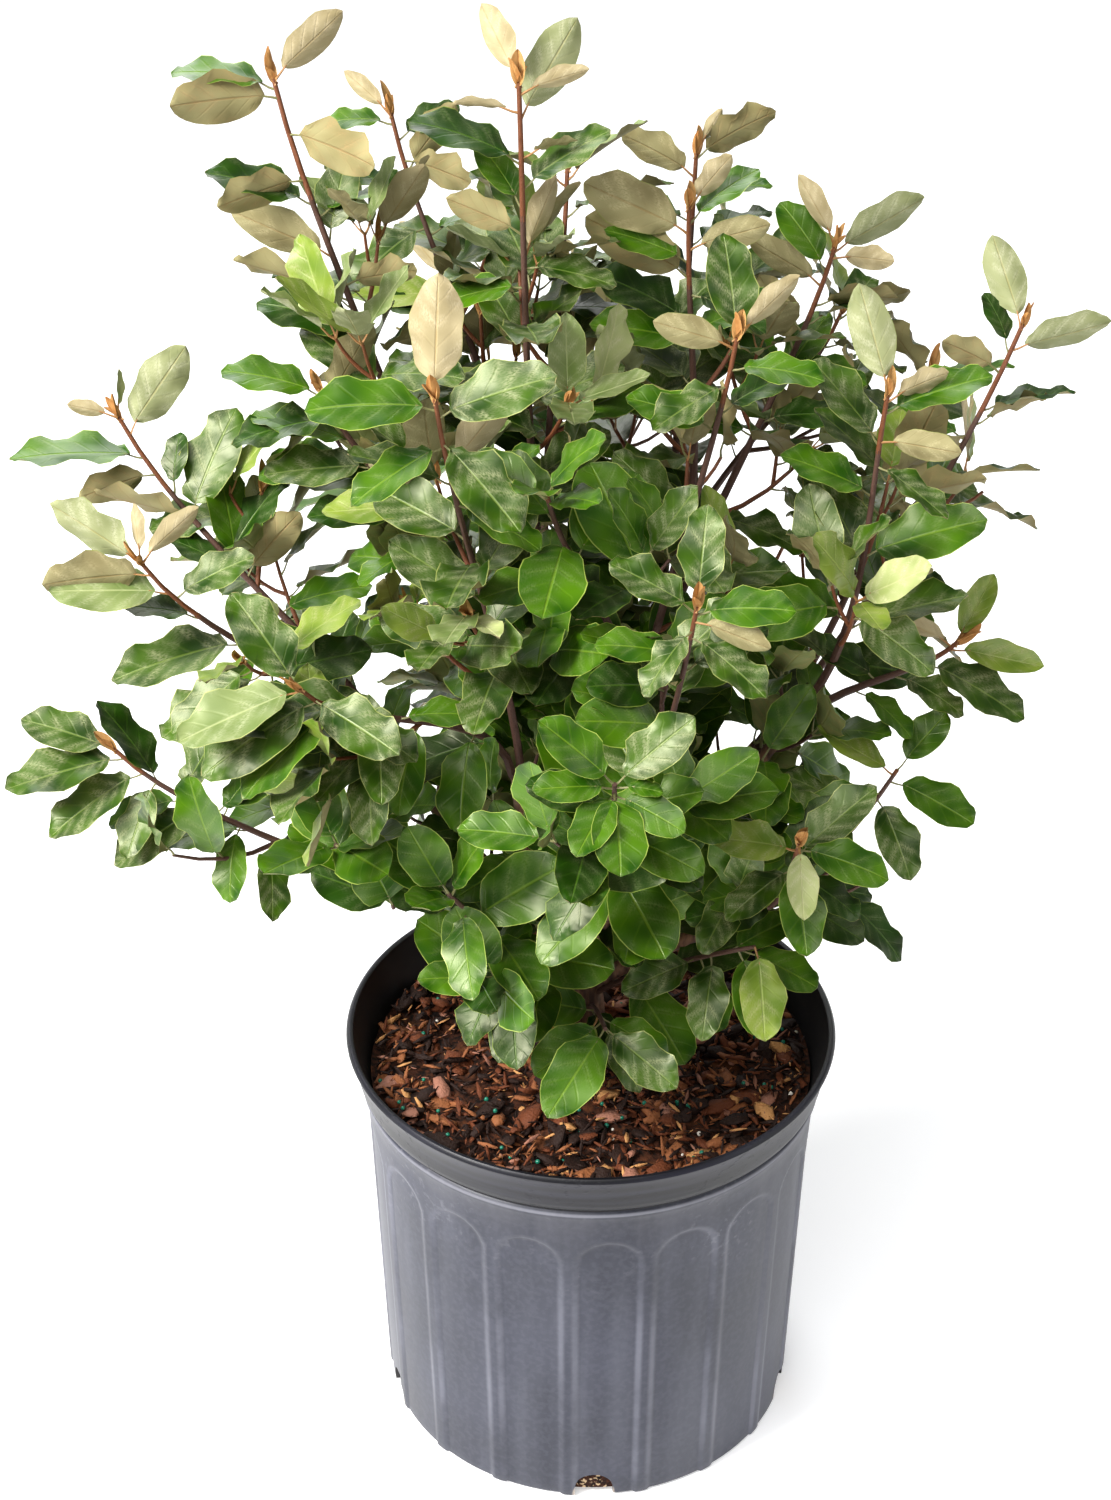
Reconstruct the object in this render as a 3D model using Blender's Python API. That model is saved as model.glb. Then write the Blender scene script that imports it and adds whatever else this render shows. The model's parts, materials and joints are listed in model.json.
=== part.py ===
"""Potted elaeagnus: a bushy evergreen shrub in a ten inch round nursery pot.

Metres, +Z up. The origin is the middle of the pot's flat underside. +X is to the viewer's
right, -Y is towards the viewer. Bearings are in degrees about +Z: 0 points along +X, 90 along
+Y (the back) and -90 at the viewer. A reach is the distance from the pot's axis.
"""
import math
import random

import bmesh
import bpy
from mathutils import Matrix, Vector
from mathutils.bvhtree import BVHTree

# Clear gap between two pieces that touch on the real plant
GAP = 0.0003

# Pot
POT_HEIGHT = 0.241
RIM_RADIUS = 0.132
COLLAR_FOOT_RADIUS = 0.1260
COLLAR_FOOT_HEIGHT = 0.218
GROOVE_RADIUS = 0.1232
GROOVE_HEIGHT = 0.2140
SHOULDER_RADIUS = 0.1218
SHOULDER_HEIGHT = 0.199
BASE_RADIUS = 0.1158
BASE_CHAMFER = 0.0012
WALL = 0.0030
FLOOR = 0.0030
POT_SEGMENTS = 36

# Recessed arched panels round the pot wall
PANEL_COUNT = 18
PANEL_TURN = 4.0
PANEL_HALF_ANGLE = 8.0
PANEL_RECESS = 0.0006
PANEL_SPRING_HEIGHT = 0.175
PANEL_TOP_HEIGHT = 0.192
PANEL_ARCH_STEPS = 6

# Arched drain holes in the foot of the wall
DRAIN_COUNT = 5
DRAIN_TURN = 1.0
DRAIN_WIDTH = 0.021
DRAIN_HEIGHT = 0.012
DRAIN_DEPTH = 0.012
DRAIN_ARCH_STEPS = 6

# Bark potting mix
MIX_HEIGHT = 0.215

# Trunk
TRUNK_FOOT_RADIUS = 0.0090
TRUNK_TOP_RADIUS = 0.0072
TRUNK_FLARE = 0.0055
TRUNK_FLARE_HEIGHT = 0.020
TRUNK_FLARE_LOBES = 4
TRUNK_LEAN = (-0.008, 0.006)
TRUNK_TOP_HEIGHT = 0.312
TRUNK_SIDES = 12

# How limbs leave their parents, in degrees, and how many rings and sides they have
LEAVE_ANGLE = 50.0
BOUGH_RINGS = 6
BOUGH_SIDES = 6

# Each bough: its parent, how far up the parent it leaves, then the bearing, reach and height
# of its tip, and its radius at the foot and at the tip
BOUGHS = {
    "bough_leader": ("trunk", 1.00, 150, 0.025, 0.470, 0.0062, 0.0038),
    "bough_left": ("trunk", 0.78, 176, 0.095, 0.400, 0.0052, 0.0036),
    "bough_right": ("trunk", 0.82, 6, 0.085, 0.410, 0.0052, 0.0036),
    "bough_front": ("trunk", 0.70, -82, 0.065, 0.365, 0.0050, 0.0036),
    "bough_back": ("trunk", 0.66, 92, 0.075, 0.400, 0.0050, 0.0036),
    "bough_front_left": ("trunk", 0.54, -137, 0.052, 0.420, 0.0050, 0.0036),
    "bough_right_low": ("trunk", 0.48, -24, 0.080, 0.330, 0.0046, 0.0036),
    "bough_left_low": ("trunk", 0.38, -168, 0.085, 0.325, 0.0046, 0.0036),
    "bough_back_low": ("trunk", 0.36, 84, 0.080, 0.320, 0.0046, 0.0036),
    "bough_upper_left": ("bough_leader", 0.34, 168, 0.075, 0.500, 0.0044, 0.0034),
    "bough_upper_right": ("bough_leader", 0.48, 34, 0.050, 0.485, 0.0044, 0.0034),
    "bough_upper_back": ("bough_leader", 0.58, 118, 0.070, 0.505, 0.0044, 0.0034),
    "bough_upper_front": ("bough_leader", 0.26, -62, 0.040, 0.455, 0.0044, 0.0034),
    "bough_right_long": ("bough_right", 0.45, -19, 0.108, 0.455, 0.0042, 0.0032),
    "bough_back_right": ("bough_back", 0.45, 62, 0.082, 0.465, 0.0042, 0.0032),
}

# Each mass of foliage: the limb that it grows from, then the bearing, reach and height of its
# tip, and how young it is (0 a dark old mass, 1 all pale new leaves). One that grows straight
# from the trunk says how far up
MASSES = {
    "foliage_top_centre": ("bough_leader", 140, 0.048, 0.772, 0.8),
    "foliage_back_high": ("bough_leader", 98, 0.095, 0.705, 0.5),
    "foliage_top_left": ("bough_upper_left", 162, 0.155, 0.748, 0.8),
    "foliage_left_upper": ("bough_upper_left", 176, 0.130, 0.605, 0.3),
    "foliage_top_right": ("bough_upper_right", 22, 0.045, 0.700, 0.7),
    "foliage_high_right": ("bough_upper_right", 27, 0.130, 0.668, 0.7),
    "foliage_top_left_back": ("bough_upper_back", 130, 0.165, 0.712, 0.7),
    "foliage_back_left": ("bough_upper_back", 112, 0.200, 0.590, 0.4),
    "foliage_centre_right": ("bough_upper_front", -32, 0.074, 0.658, 0.6),
    "foliage_centre": ("bough_upper_front", -104, 0.095, 0.600, 0.1),
    "foliage_left_high": ("bough_left", 166, 0.244, 0.580, 0.7),
    "foliage_left_mid": ("bough_left", -170, 0.210, 0.540, 0.8),
    "foliage_far_right": ("bough_right", 10, 0.210, 0.635, 0.7),
    "foliage_right_back": ("bough_right", 28, 0.248, 0.555, 0.4),
    "foliage_right_long": ("bough_right_long", -18, 0.136, 0.632, 0.6),
    "foliage_right_low": ("bough_right_long", -9, 0.190, 0.503, 0.7),
    "foliage_front_mid": ("bough_front", -74, 0.150, 0.572, 0.3),
    "foliage_front_centre": ("bough_front", -88, 0.180, 0.505, 0.0),
    "foliage_centre_left": ("bough_front_left", -128, 0.115, 0.655, 0.7),
    "foliage_left_low": ("bough_front_left", -142, 0.178, 0.522, 0.6),
    "foliage_front_right": ("bough_right_low", -54, 0.158, 0.440, 0.3),
    "foliage_right_skirt": ("bough_right_low", -18, 0.155, 0.430, 0.1),
    "foliage_left_tip": ("bough_left_low", -176, 0.240, 0.430, 0.4),
    "foliage_left_skirt": ("bough_left_low", -146, 0.150, 0.410, 0.0),
    "foliage_top_right_back": ("bough_back_right", 66, 0.142, 0.690, 0.6),
    "foliage_back_right": ("bough_back_right", 52, 0.215, 0.580, 0.4),
    "foliage_back": ("bough_back", 88, 0.220, 0.560, 0.4),
    "foliage_back_mid": ("bough_back", 128, 0.190, 0.505, 0.2),
    "foliage_back_low": ("bough_back_low", 58, 0.205, 0.440, 0.2),
    "foliage_back_skirt": ("bough_back_low", 116, 0.190, 0.410, 0.1),
    "foliage_foot_front": ("trunk", -100, 0.105, 0.290, 0.0, 0.34),
    "foliage_foot_left": ("trunk", -146, 0.068, 0.310, 0.1, 0.24),
    "foliage_low_left": ("trunk", -124, 0.125, 0.395, 0.0, 0.46),
    "foliage_low_right": ("trunk", -58, 0.125, 0.370, 0.0, 0.42),
}

# Stems and twigs inside a mass
STEM_FOOT_RADIUS = 0.0020
STEM_TIP_RADIUS = 0.0011
STEM_RINGS = 6
STEM_SIDES = 4
TWIG_FOOT_RADIUS = 0.0015
TWIG_TIP_RADIUS = 0.0010
TWIG_LENGTH = 0.052
TWIG_SPACING = 0.052
TWIG_ANGLE = 52.0
TWIG_FROM = 0.12
TWIG_TO = 0.80

# Leaves, larger than life because there are fewer of them
LEAF_LENGTH = 0.060
LEAF_WIDTH = 0.037
LEAF_THICKNESS = 0.0014
LEAF_CUP = 0.0010
LEAF_SPACING = 0.029
LEAF_ANGLE = 58.0
TIP_LEAF_ANGLE = 34.0
TIP_LEAVES = 3
SIDE_TIP_LEAVES = 2
LEAF_TRIES = 7
LIGHT = (0.0, -0.40, 1.0)
OUTWARD_FACING = 0.40
CROWN_CORE_REACH = 0.10
FACING_JITTER = 0.40
SPREAD_FLAT = 0.65
ROOT_SHARE = 0.16
FLAT_ANGLE = 3.0
CLEARANCE = 0.0005
GOLDEN_ANGLE = math.radians(137.5)
SEED = 11

OLD_LEAF_COLOUR = (0.055, 0.150, 0.035)
YOUNG_LEAF_COLOUR = (0.290, 0.300, 0.130)
BARK_COLOUR = (0.110, 0.060, 0.040)
POT_COLOUR = (0.145, 0.145, 0.170)
MIX_COLOUR = (0.085, 0.040, 0.026)


# Basic helpers

def polar(bearing, reach, height):
    angle = math.radians(bearing)
    return Vector((reach * math.cos(angle), reach * math.sin(angle), height))


def curve_point(controls, share):
    """A point on the Bezier curve of any number of control points."""
    points = list(controls)
    while len(points) > 1:
        points = [a.lerp(b, share) for a, b in zip(points, points[1:])]
    return points[0]


class Limb:
    """A tapering limb along a curve, from its foot to its tip."""

    def __init__(self, controls, foot_radius, tip_radius, rings):
        self.points = [curve_point(controls, i / (rings - 1)) for i in range(rings)]
        self.foot_direction = (controls[1] - controls[0]).normalized()
        self.tip_direction = (controls[-1] - controls[-2]).normalized()
        self.foot_radius = foot_radius
        self.tip_radius = tip_radius
        steps = [(b - a).length for a, b in zip(self.points, self.points[1:])]
        self.length = sum(steps)
        self.marks = [sum(steps[:i]) / self.length for i in range(rings)]

    def segment(self, share):
        last = len(self.marks) - 2
        for i in range(last, -1, -1):
            if share >= self.marks[i]:
                break
        span = self.marks[i + 1] - self.marks[i]
        return i, min(1.0, (share - self.marks[i]) / span)

    def at(self, share):
        i, part = self.segment(share)
        return self.points[i].lerp(self.points[i + 1], part)

    def direction(self, share):
        i, part = self.segment(share)
        ahead = self.points[i + 1] - self.points[i]
        return ahead.normalized()

    def radius(self, share):
        return self.foot_radius + (self.tip_radius - self.foot_radius) * share

    def distance(self, point):
        best = 9.0
        for a, b in zip(self.points, self.points[1:]):
            along = b - a
            part = max(0.0, min(1.0, (point - a).dot(along) / along.length_squared))
            best = min(best, (point - a - along * part).length)
        return best

    def shape(self, sides, extra=0.0):
        """Vertices and faces of the closed tube, its radius larger by extra."""
        before = self.foot_direction
        side = before.orthogonal().normalized()
        verts = []
        faces = []
        for i, point in enumerate(self.points):
            if i == 0:
                ahead = self.foot_direction
            elif i == len(self.points) - 1:
                ahead = self.tip_direction
            else:
                ahead = (self.points[i + 1] - self.points[i - 1]).normalized()
            side = before.rotation_difference(ahead) @ side
            side = (side - ahead * side.dot(ahead)).normalized()
            before = ahead
            other = ahead.cross(side)
            radius = self.radius(self.marks[i]) + extra
            for j in range(sides):
                angle = math.tau * j / sides
                verts.append(point + side * radius * math.cos(angle)
                             + other * radius * math.sin(angle))
        for i in range(len(self.points) - 1):
            for j in range(sides):
                k = (j + 1) % sides
                low = i * sides
                high = low + sides
                faces.append((low + j, low + k, high + k, high + j))
        faces.append(tuple(reversed(range(sides))))
        faces.append(tuple(range(len(verts) - sides, len(verts))))
        return verts, faces


def material(name, colour, roughness):
    made = bpy.data.materials.new(name)
    made.use_nodes = True
    shader = made.node_tree.nodes["Principled BSDF"]
    shader.inputs["Base Color"].default_value = (*colour, 1.0)
    shader.inputs["Roughness"].default_value = roughness
    shader.inputs["Metallic"].default_value = 0.0
    made.diffuse_color = (*colour, 1.0)
    return made


def solid(name, verts, faces, collection=None):
    """A closed object with its faces pointing out."""
    mesh = bpy.data.meshes.new(name)
    mesh.from_pydata([tuple(v) for v in verts], [], faces)
    shape = bmesh.new()
    shape.from_mesh(mesh)
    bmesh.ops.recalc_face_normals(shape, faces=shape.faces)
    shape.to_mesh(mesh)
    shape.free()
    obj = bpy.data.objects.new(name, mesh)
    (collection or bpy.context.scene.collection).objects.link(obj)
    return obj


def turned(name, profile, segments):
    """A ring or disc turned from an outline that may start and end on the axis."""
    shape = bmesh.new()
    verts = [shape.verts.new((r, 0.0, z)) for r, z in profile]
    closed = profile[0][0] > 0.0 and profile[-1][0] > 0.0
    pairs = list(zip(verts, verts[1:]))
    if closed:
        pairs.append((verts[-1], verts[0]))
    edges = [shape.edges.new(pair) for pair in pairs]
    bmesh.ops.spin(shape, geom=verts + edges, cent=(0, 0, 0), axis=(0, 0, 1),
                   angle=math.tau, steps=segments, use_merge=True)
    bmesh.ops.remove_doubles(shape, verts=shape.verts, dist=1e-6)
    bmesh.ops.dissolve_degenerate(shape, edges=shape.edges, dist=1e-7)
    bmesh.ops.recalc_face_normals(shape, faces=shape.faces)
    mesh = bpy.data.meshes.new(name)
    shape.to_mesh(mesh)
    shape.free()
    obj = bpy.data.objects.new(name, mesh)
    bpy.context.scene.collection.objects.link(obj)
    return obj


def fix_mesh(obj):
    """Replaces an object's mesh by the one that its modifiers make."""
    bpy.context.view_layer.update()
    graph = bpy.context.evaluated_depsgraph_get()
    made = bpy.data.meshes.new_from_object(obj.evaluated_get(graph))
    obj.modifiers.clear()
    old = obj.data
    obj.data = made
    bpy.data.meshes.remove(old)


def drop(objects):
    for obj in list(objects):
        mesh = obj.data
        bpy.data.objects.remove(obj)
        bpy.data.meshes.remove(mesh)


def join_or_cut(obj, others, operation, solver):
    """One Boolean of a collection with the object, applied, and the collection then removed."""
    collection = bpy.data.collections.new(obj.name + "_operands")
    bpy.context.scene.collection.children.link(collection)
    for other in others:
        for holder in list(other.users_collection):
            holder.objects.unlink(other)
        collection.objects.link(other)
    modifier = obj.modifiers.new("boolean", "BOOLEAN")
    modifier.operation = operation
    modifier.solver = solver
    modifier.operand_type = "COLLECTION"
    modifier.collection = collection
    fix_mesh(obj)
    drop(collection.objects)
    bpy.data.collections.remove(collection)


def keep_biggest_body(obj, flat_angle=0.2):
    """Keeps the biggest closed shell, with faces flat to within an angle in degrees merged.
    It returns whether that shell is a clean solid."""
    shape = bmesh.new()
    shape.from_mesh(obj.data)
    bmesh.ops.remove_doubles(shape, verts=shape.verts, dist=2e-7)
    bmesh.ops.dissolve_degenerate(shape, edges=shape.edges, dist=1e-7)
    bmesh.ops.dissolve_limit(shape, angle_limit=math.radians(flat_angle), verts=shape.verts,
                             edges=shape.edges)
    bmesh.ops.triangulate(shape, faces=shape.faces)
    left = set(shape.faces)
    shells = []
    while left:
        todo = [left.pop()]
        found = set(todo)
        while todo:
            for edge in todo.pop().edges:
                for face in edge.link_faces:
                    if face in left:
                        left.remove(face)
                        found.add(face)
                        todo.append(face)
        volume = 0.0
        for face in found:
            a, b, c = [v.co for v in face.verts]
            volume += a.dot(b.cross(c)) / 6.0
        shells.append((volume, len(shells), found))
    shells.sort(key=lambda entry: (entry[0], -entry[1]))
    for volume, order, found in shells[:-1]:
        bmesh.ops.delete(shape, geom=list(found), context="FACES")
    clean = bool(shape.faces) and all(len(edge.link_faces) == 2 for edge in shape.edges)
    shape.to_mesh(obj.data)
    shape.free()
    return clean


def set_origin(obj, point):
    """Puts the object's origin at a point without moving its shape."""
    obj.data.transform(Matrix.Translation(-point))
    obj.location = point


def finish(obj, colour, roughness, parent, smooth=True):
    obj.data.materials.clear()
    obj.data.materials.append(material(obj.name, colour, roughness))
    if smooth:
        obj.data.shade_smooth()
        obj.data.set_sharp_from_angle(angle=math.radians(35.0))
    obj.parent = parent


# The pot and what it holds

def wall_radius(height):
    """Outer radius of the plain tapering wall."""
    return BASE_RADIUS + (SHOULDER_RADIUS - BASE_RADIUS) * height / SHOULDER_HEIGHT


def inner_radius(height):
    return wall_radius(height) - WALL


def pot_profile():
    lip = RIM_RADIUS - 0.0028
    outside = [
        (lip, POT_HEIGHT),
        (RIM_RADIUS - 0.0007, POT_HEIGHT - 0.0006),
        (RIM_RADIUS, POT_HEIGHT - 0.0022),
        (RIM_RADIUS - 0.0010, POT_HEIGHT - 0.0044),
        (COLLAR_FOOT_RADIUS, COLLAR_FOOT_HEIGHT),
        (GROOVE_RADIUS, GROOVE_HEIGHT + 0.0010),
        (GROOVE_RADIUS, GROOVE_HEIGHT - 0.0010),
        (GROOVE_RADIUS + 0.0013, GROOVE_HEIGHT - 0.0030),
        (SHOULDER_RADIUS + 0.0010, SHOULDER_HEIGHT + 0.0065),
        (SHOULDER_RADIUS, SHOULDER_HEIGHT),
        (BASE_RADIUS, BASE_CHAMFER * 2.0),
        (BASE_RADIUS - BASE_CHAMFER, 0.0),
        (0.0, 0.0),
    ]
    inside = [
        (0.0, FLOOR),
        (inner_radius(FLOOR), FLOOR),
        (inner_radius(SHOULDER_HEIGHT), SHOULDER_HEIGHT),
        (COLLAR_FOOT_RADIUS - WALL - 0.0008, COLLAR_FOOT_HEIGHT),
        (RIM_RADIUS - WALL - 0.0020, POT_HEIGHT - 0.0040),
        (lip - 0.0010, POT_HEIGHT - 0.0005),
    ]
    return outside, inside


def arch_prism(name, half_width, spring, top, foot, near, far, slope, steps, bearing):
    """A prism with an arched top. It runs outwards along the bearing, from near to far, and
    its near face leans out by slope for each metre of height."""
    outline = [(-half_width, foot), (half_width, foot)]
    for i in range(steps + 1):
        angle = math.pi * i / steps
        outline.append((half_width * math.cos(angle), spring + (top - spring) * math.sin(angle)))
    turn = Matrix.Rotation(math.radians(bearing), 4, "Z")
    count = len(outline)
    verts = [turn @ Vector((near + slope * z, w, z)) for w, z in outline]
    verts += [turn @ Vector((far, w, z)) for w, z in outline]
    faces = [tuple(reversed(range(count))), tuple(range(count, 2 * count))]
    for i in range(count):
        j = (i + 1) % count
        faces.append((i, j, count + j, count + i))
    return solid(name, verts, faces)


def build_pot(parent):
    outside, inside = pot_profile()
    # The outline starts and ends on the axis, so that the floor is closed
    profile = list(reversed(outside)) + list(reversed(inside))
    pot = turned("pot", profile, POT_SEGMENTS)
    slope = (SHOULDER_RADIUS - BASE_RADIUS) / SHOULDER_HEIGHT
    flat = math.cos(math.radians(PANEL_HALF_ANGLE))
    half = SHOULDER_RADIUS * math.sin(math.radians(PANEL_HALF_ANGLE))
    cutters = []
    for i in range(PANEL_COUNT):
        bearing = -90.0 + PANEL_TURN + 360.0 * i / PANEL_COUNT
        cutters.append(arch_prism(
            "panel_%d" % i, half, PANEL_SPRING_HEIGHT, PANEL_TOP_HEIGHT, -0.01,
            BASE_RADIUS * flat - PANEL_RECESS, RIM_RADIUS + 0.01, slope * flat,
            PANEL_ARCH_STEPS, bearing))
    join_or_cut(pot, cutters, "DIFFERENCE", "EXACT")
    cutters = []
    for i in range(DRAIN_COUNT):
        bearing = -90.0 + DRAIN_TURN + 360.0 * i / DRAIN_COUNT
        cutters.append(arch_prism(
            "drain_%d" % i, DRAIN_WIDTH / 2.0, DRAIN_HEIGHT - DRAIN_WIDTH / 2.0, DRAIN_HEIGHT,
            -0.01, BASE_RADIUS - DRAIN_DEPTH, RIM_RADIUS, 0.0, DRAIN_ARCH_STEPS, bearing))
    join_or_cut(pot, cutters, "DIFFERENCE", "EXACT")
    keep_biggest_body(pot)
    finish(pot, POT_COLOUR, 0.55, parent)
    return pot


def build_mix(parent):
    foot = FLOOR + GAP
    top = inner_radius(SHOULDER_HEIGHT)
    rise = (COLLAR_FOOT_RADIUS - WALL - 0.0008 - top) / (COLLAR_FOOT_HEIGHT - SHOULDER_HEIGHT)
    edge = top + rise * (MIX_HEIGHT - SHOULDER_HEIGHT)
    # The flats of the round wall lie inside its corners, so the mix keeps clear of those
    profile = [
        (0.0, foot),
        (inner_radius(foot) - 2.0 * GAP, foot),
        (top - 2.0 * GAP, SHOULDER_HEIGHT),
        (edge - 2.0 * GAP, MIX_HEIGHT),
        (0.0, MIX_HEIGHT),
    ]
    mix = turned("potting_mix", profile, POT_SEGMENTS)
    finish(mix, MIX_COLOUR, 0.95, parent)
    return mix


# Trunk and boughs

def trunk_limb():
    foot = Vector((0.0, 0.0, MIX_HEIGHT + GAP))
    top = Vector((TRUNK_LEAN[0], TRUNK_LEAN[1], TRUNK_TOP_HEIGHT))
    knee = Vector((0.0, 0.0, (foot.z + top.z) / 2.0))
    return Limb([foot, knee, top], TRUNK_FOOT_RADIUS, TRUNK_TOP_RADIUS, 8)


def trunk_shape(limb, extra=0.0):
    """The trunk as rings with a lobed root flare, cut flat at the mix and at the fork."""
    verts = []
    for i, point in enumerate(limb.points):
        above = point.z - MIX_HEIGHT
        flare = TRUNK_FLARE * max(0.0, 1.0 - above / TRUNK_FLARE_HEIGHT) ** 2
        for j in range(TRUNK_SIDES):
            angle = math.tau * j / TRUNK_SIDES
            lobe = 0.65 + 0.35 * math.cos(TRUNK_FLARE_LOBES * angle)
            radius = limb.radius(limb.marks[i]) + flare * lobe + extra
            verts.append(point + Vector((radius * math.cos(angle), radius * math.sin(angle), 0)))
    count = len(limb.points)
    sides = TRUNK_SIDES
    faces = []
    for i in range(count - 1):
        for j in range(sides):
            k = (j + 1) % sides
            faces.append((i * sides + j, i * sides + k, (i + 1) * sides + k, (i + 1) * sides + j))
    faces.append(tuple(reversed(range(sides))))
    faces.append(tuple(range((count - 1) * sides, count * sides)))
    return verts, faces


def leaving_curve(parent, share, tip):
    """Control points of a limb that leaves its parent's side and bends up to its tip."""
    start = parent.at(share)
    along = parent.direction(share)
    outward = tip - start
    outward = (outward - along * outward.dot(along)).normalized()
    angle = math.radians(LEAVE_ANGLE)
    lead = (along * math.cos(angle) + outward * math.sin(angle)) * (tip - start).length * 0.42
    return [start, start + lead, tip]


def seat_on(obj, parent_verts, parent_faces):
    """Cuts the foot of a limb to its parent's surface, GAP clear of it."""
    cutter = solid(obj.name + "_seat", parent_verts, parent_faces)
    join_or_cut(obj, [cutter], "DIFFERENCE", "EXACT")
    keep_biggest_body(obj)


def parent_shape(name, limbs, extra):
    if name == "trunk":
        return trunk_shape(limbs[name], extra)
    return limbs[name].shape(BOUGH_SIDES, extra)


def plan_boughs(limbs):
    for name, (parent, share, bearing, reach, height, foot_radius, tip_radius) in BOUGHS.items():
        tip = polar(bearing, reach, height)
        if share >= 1.0:
            start = limbs[parent].points[-1] + Vector((0, 0, GAP))
            ahead = Vector((0, 0, 1))
            controls = [start, start + ahead * (tip - start).length * 0.4, tip]
        else:
            controls = leaving_curve(limbs[parent], share, tip)
        limbs[name] = Limb(controls, foot_radius, tip_radius, BOUGH_RINGS)


def build_limbs(limbs, parent):
    verts, faces = trunk_shape(limbs["trunk"])
    trunk = solid("trunk", verts, faces)
    finish(trunk, BARK_COLOUR, 0.85, parent)
    for name, (holder, share, *rest) in BOUGHS.items():
        bough = solid(name, *limbs[name].shape(BOUGH_SIDES))
        if share < 1.0:
            seat_on(bough, *parent_shape(holder, limbs, GAP))
        set_origin(bough, limbs[name].points[0])
        finish(bough, BARK_COLOUR, 0.85, parent)


# Foliage

def leaf_shape(root, ahead, up, length, width, thickness, extra=0.0, from_share=0.0):
    """A leaf of 6 faces: a thin diamond, cupped on top and keeled below, its tip turned down.
    With from_share over 0 it starts that far along, for testing what lies round it."""
    across = ahead.cross(up).normalized()
    up = across.cross(ahead).normalized()
    middle = root + ahead * length * 0.46
    half = width / 2.0 + extra
    keel = root + ahead * length * 0.36 - up * (thickness + extra)
    tip = root + ahead * (length + extra) - up * length * 0.05
    start = root + ahead * (length * from_share - extra)
    raise_edges = up * (LEAF_CUP + extra)
    verts = [start, tip, middle + across * half + raise_edges,
             middle - across * half + raise_edges, keel]
    faces = [(0, 2, 3), (1, 3, 2), (0, 4, 2), (2, 4, 1), (1, 4, 3), (3, 4, 0)]
    return verts, faces


def tree_of(shape):
    return BVHTree.FromPolygons([tuple(v) for v in shape[0]], shape[1])


class Crown:
    """What has been placed so far, for keeping every new twig and leaf clear of it."""

    def __init__(self, limbs, stems):
        self.stems = stems
        self.fixed = [tree_of(parent_shape(name, limbs, 0.0)) for name in limbs]
        self.stem_trees = {name: tree_of(stem.shape(STEM_SIDES)) for name, stem in stems.items()}
        self.placed = {name: [] for name in stems}

    def own_space(self, name, point):
        """Whether a point is nearer to this mass's stem than to any other's."""
        own = self.stems[name].distance(point)
        for other, stem in self.stems.items():
            if other != name and stem.distance(point) < own:
                return False
        return True

    def above_pot(self, points):
        for point in points:
            reach = math.hypot(point.x, point.y)
            if point.z < MIX_HEIGHT + 0.003 and reach < RIM_RADIUS + 0.004:
                return False
            if point.z < POT_HEIGHT + 0.002 and inner_radius(SHOULDER_HEIGHT) - 0.002 < reach:
                return False
        return True

    def clear_of_others(self, name, shape):
        tree = tree_of(shape)
        for fixed in self.fixed:
            if tree.overlap(fixed):
                return False
        for other, stem in self.stem_trees.items():
            if other != name and tree.overlap(stem):
                return False
        for other, trees in self.placed.items():
            if other != name and any(tree.overlap(item) for item in trees):
                return False
        return True

    def clear_of_own(self, name, shape, skip):
        tree = tree_of(shape)
        for item in self.placed[name]:
            if item is not skip and tree.overlap(item):
                return False
        return skip is None or not tree.overlap(self.stem_trees[name])


def turned_from(axis, angle, turn):
    """A unit vector at an angle from the axis, turned round it."""
    side = axis.orthogonal().normalized()
    side = Matrix.Rotation(turn, 3, axis) @ side
    return (axis * math.cos(angle) + side * math.sin(angle)).normalized()


def plan_stems(limbs):
    """The stem of each mass, starting GAP clear of its bough's tip, side by side on a fork."""
    stems = {}
    for name, (holder, bearing, reach, height, age, *share) in MASSES.items():
        tip = polar(bearing, reach, height)
        if share:
            limb = limbs[holder]
            controls = leaving_curve(limb, share[0], tip)
            stems[name] = Limb(controls, STEM_FOOT_RADIUS, STEM_TIP_RADIUS, STEM_RINGS)
            continue
        limb = limbs[holder]
        ahead = limb.tip_direction
        start = limb.points[-1] + ahead * GAP
        twins = [key for key, entry in MASSES.items() if entry[0] == holder and key != name]
        if twins:
            entry = MASSES[twins[0]]
            apart = tip - polar(entry[1], entry[2], entry[3])
            apart = (apart - ahead * apart.dot(ahead)).normalized()
            start = start + apart * (STEM_FOOT_RADIUS + GAP)
        reach_out = (tip - start).length
        arrive = ((tip - start).normalized() + Vector((0, 0, 0.55))).normalized()
        controls = [start, start + ahead * reach_out * 0.30, tip - arrive * reach_out * 0.30, tip]
        stems[name] = Limb(controls, STEM_FOOT_RADIUS, STEM_TIP_RADIUS, STEM_RINGS)
    return stems


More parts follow.
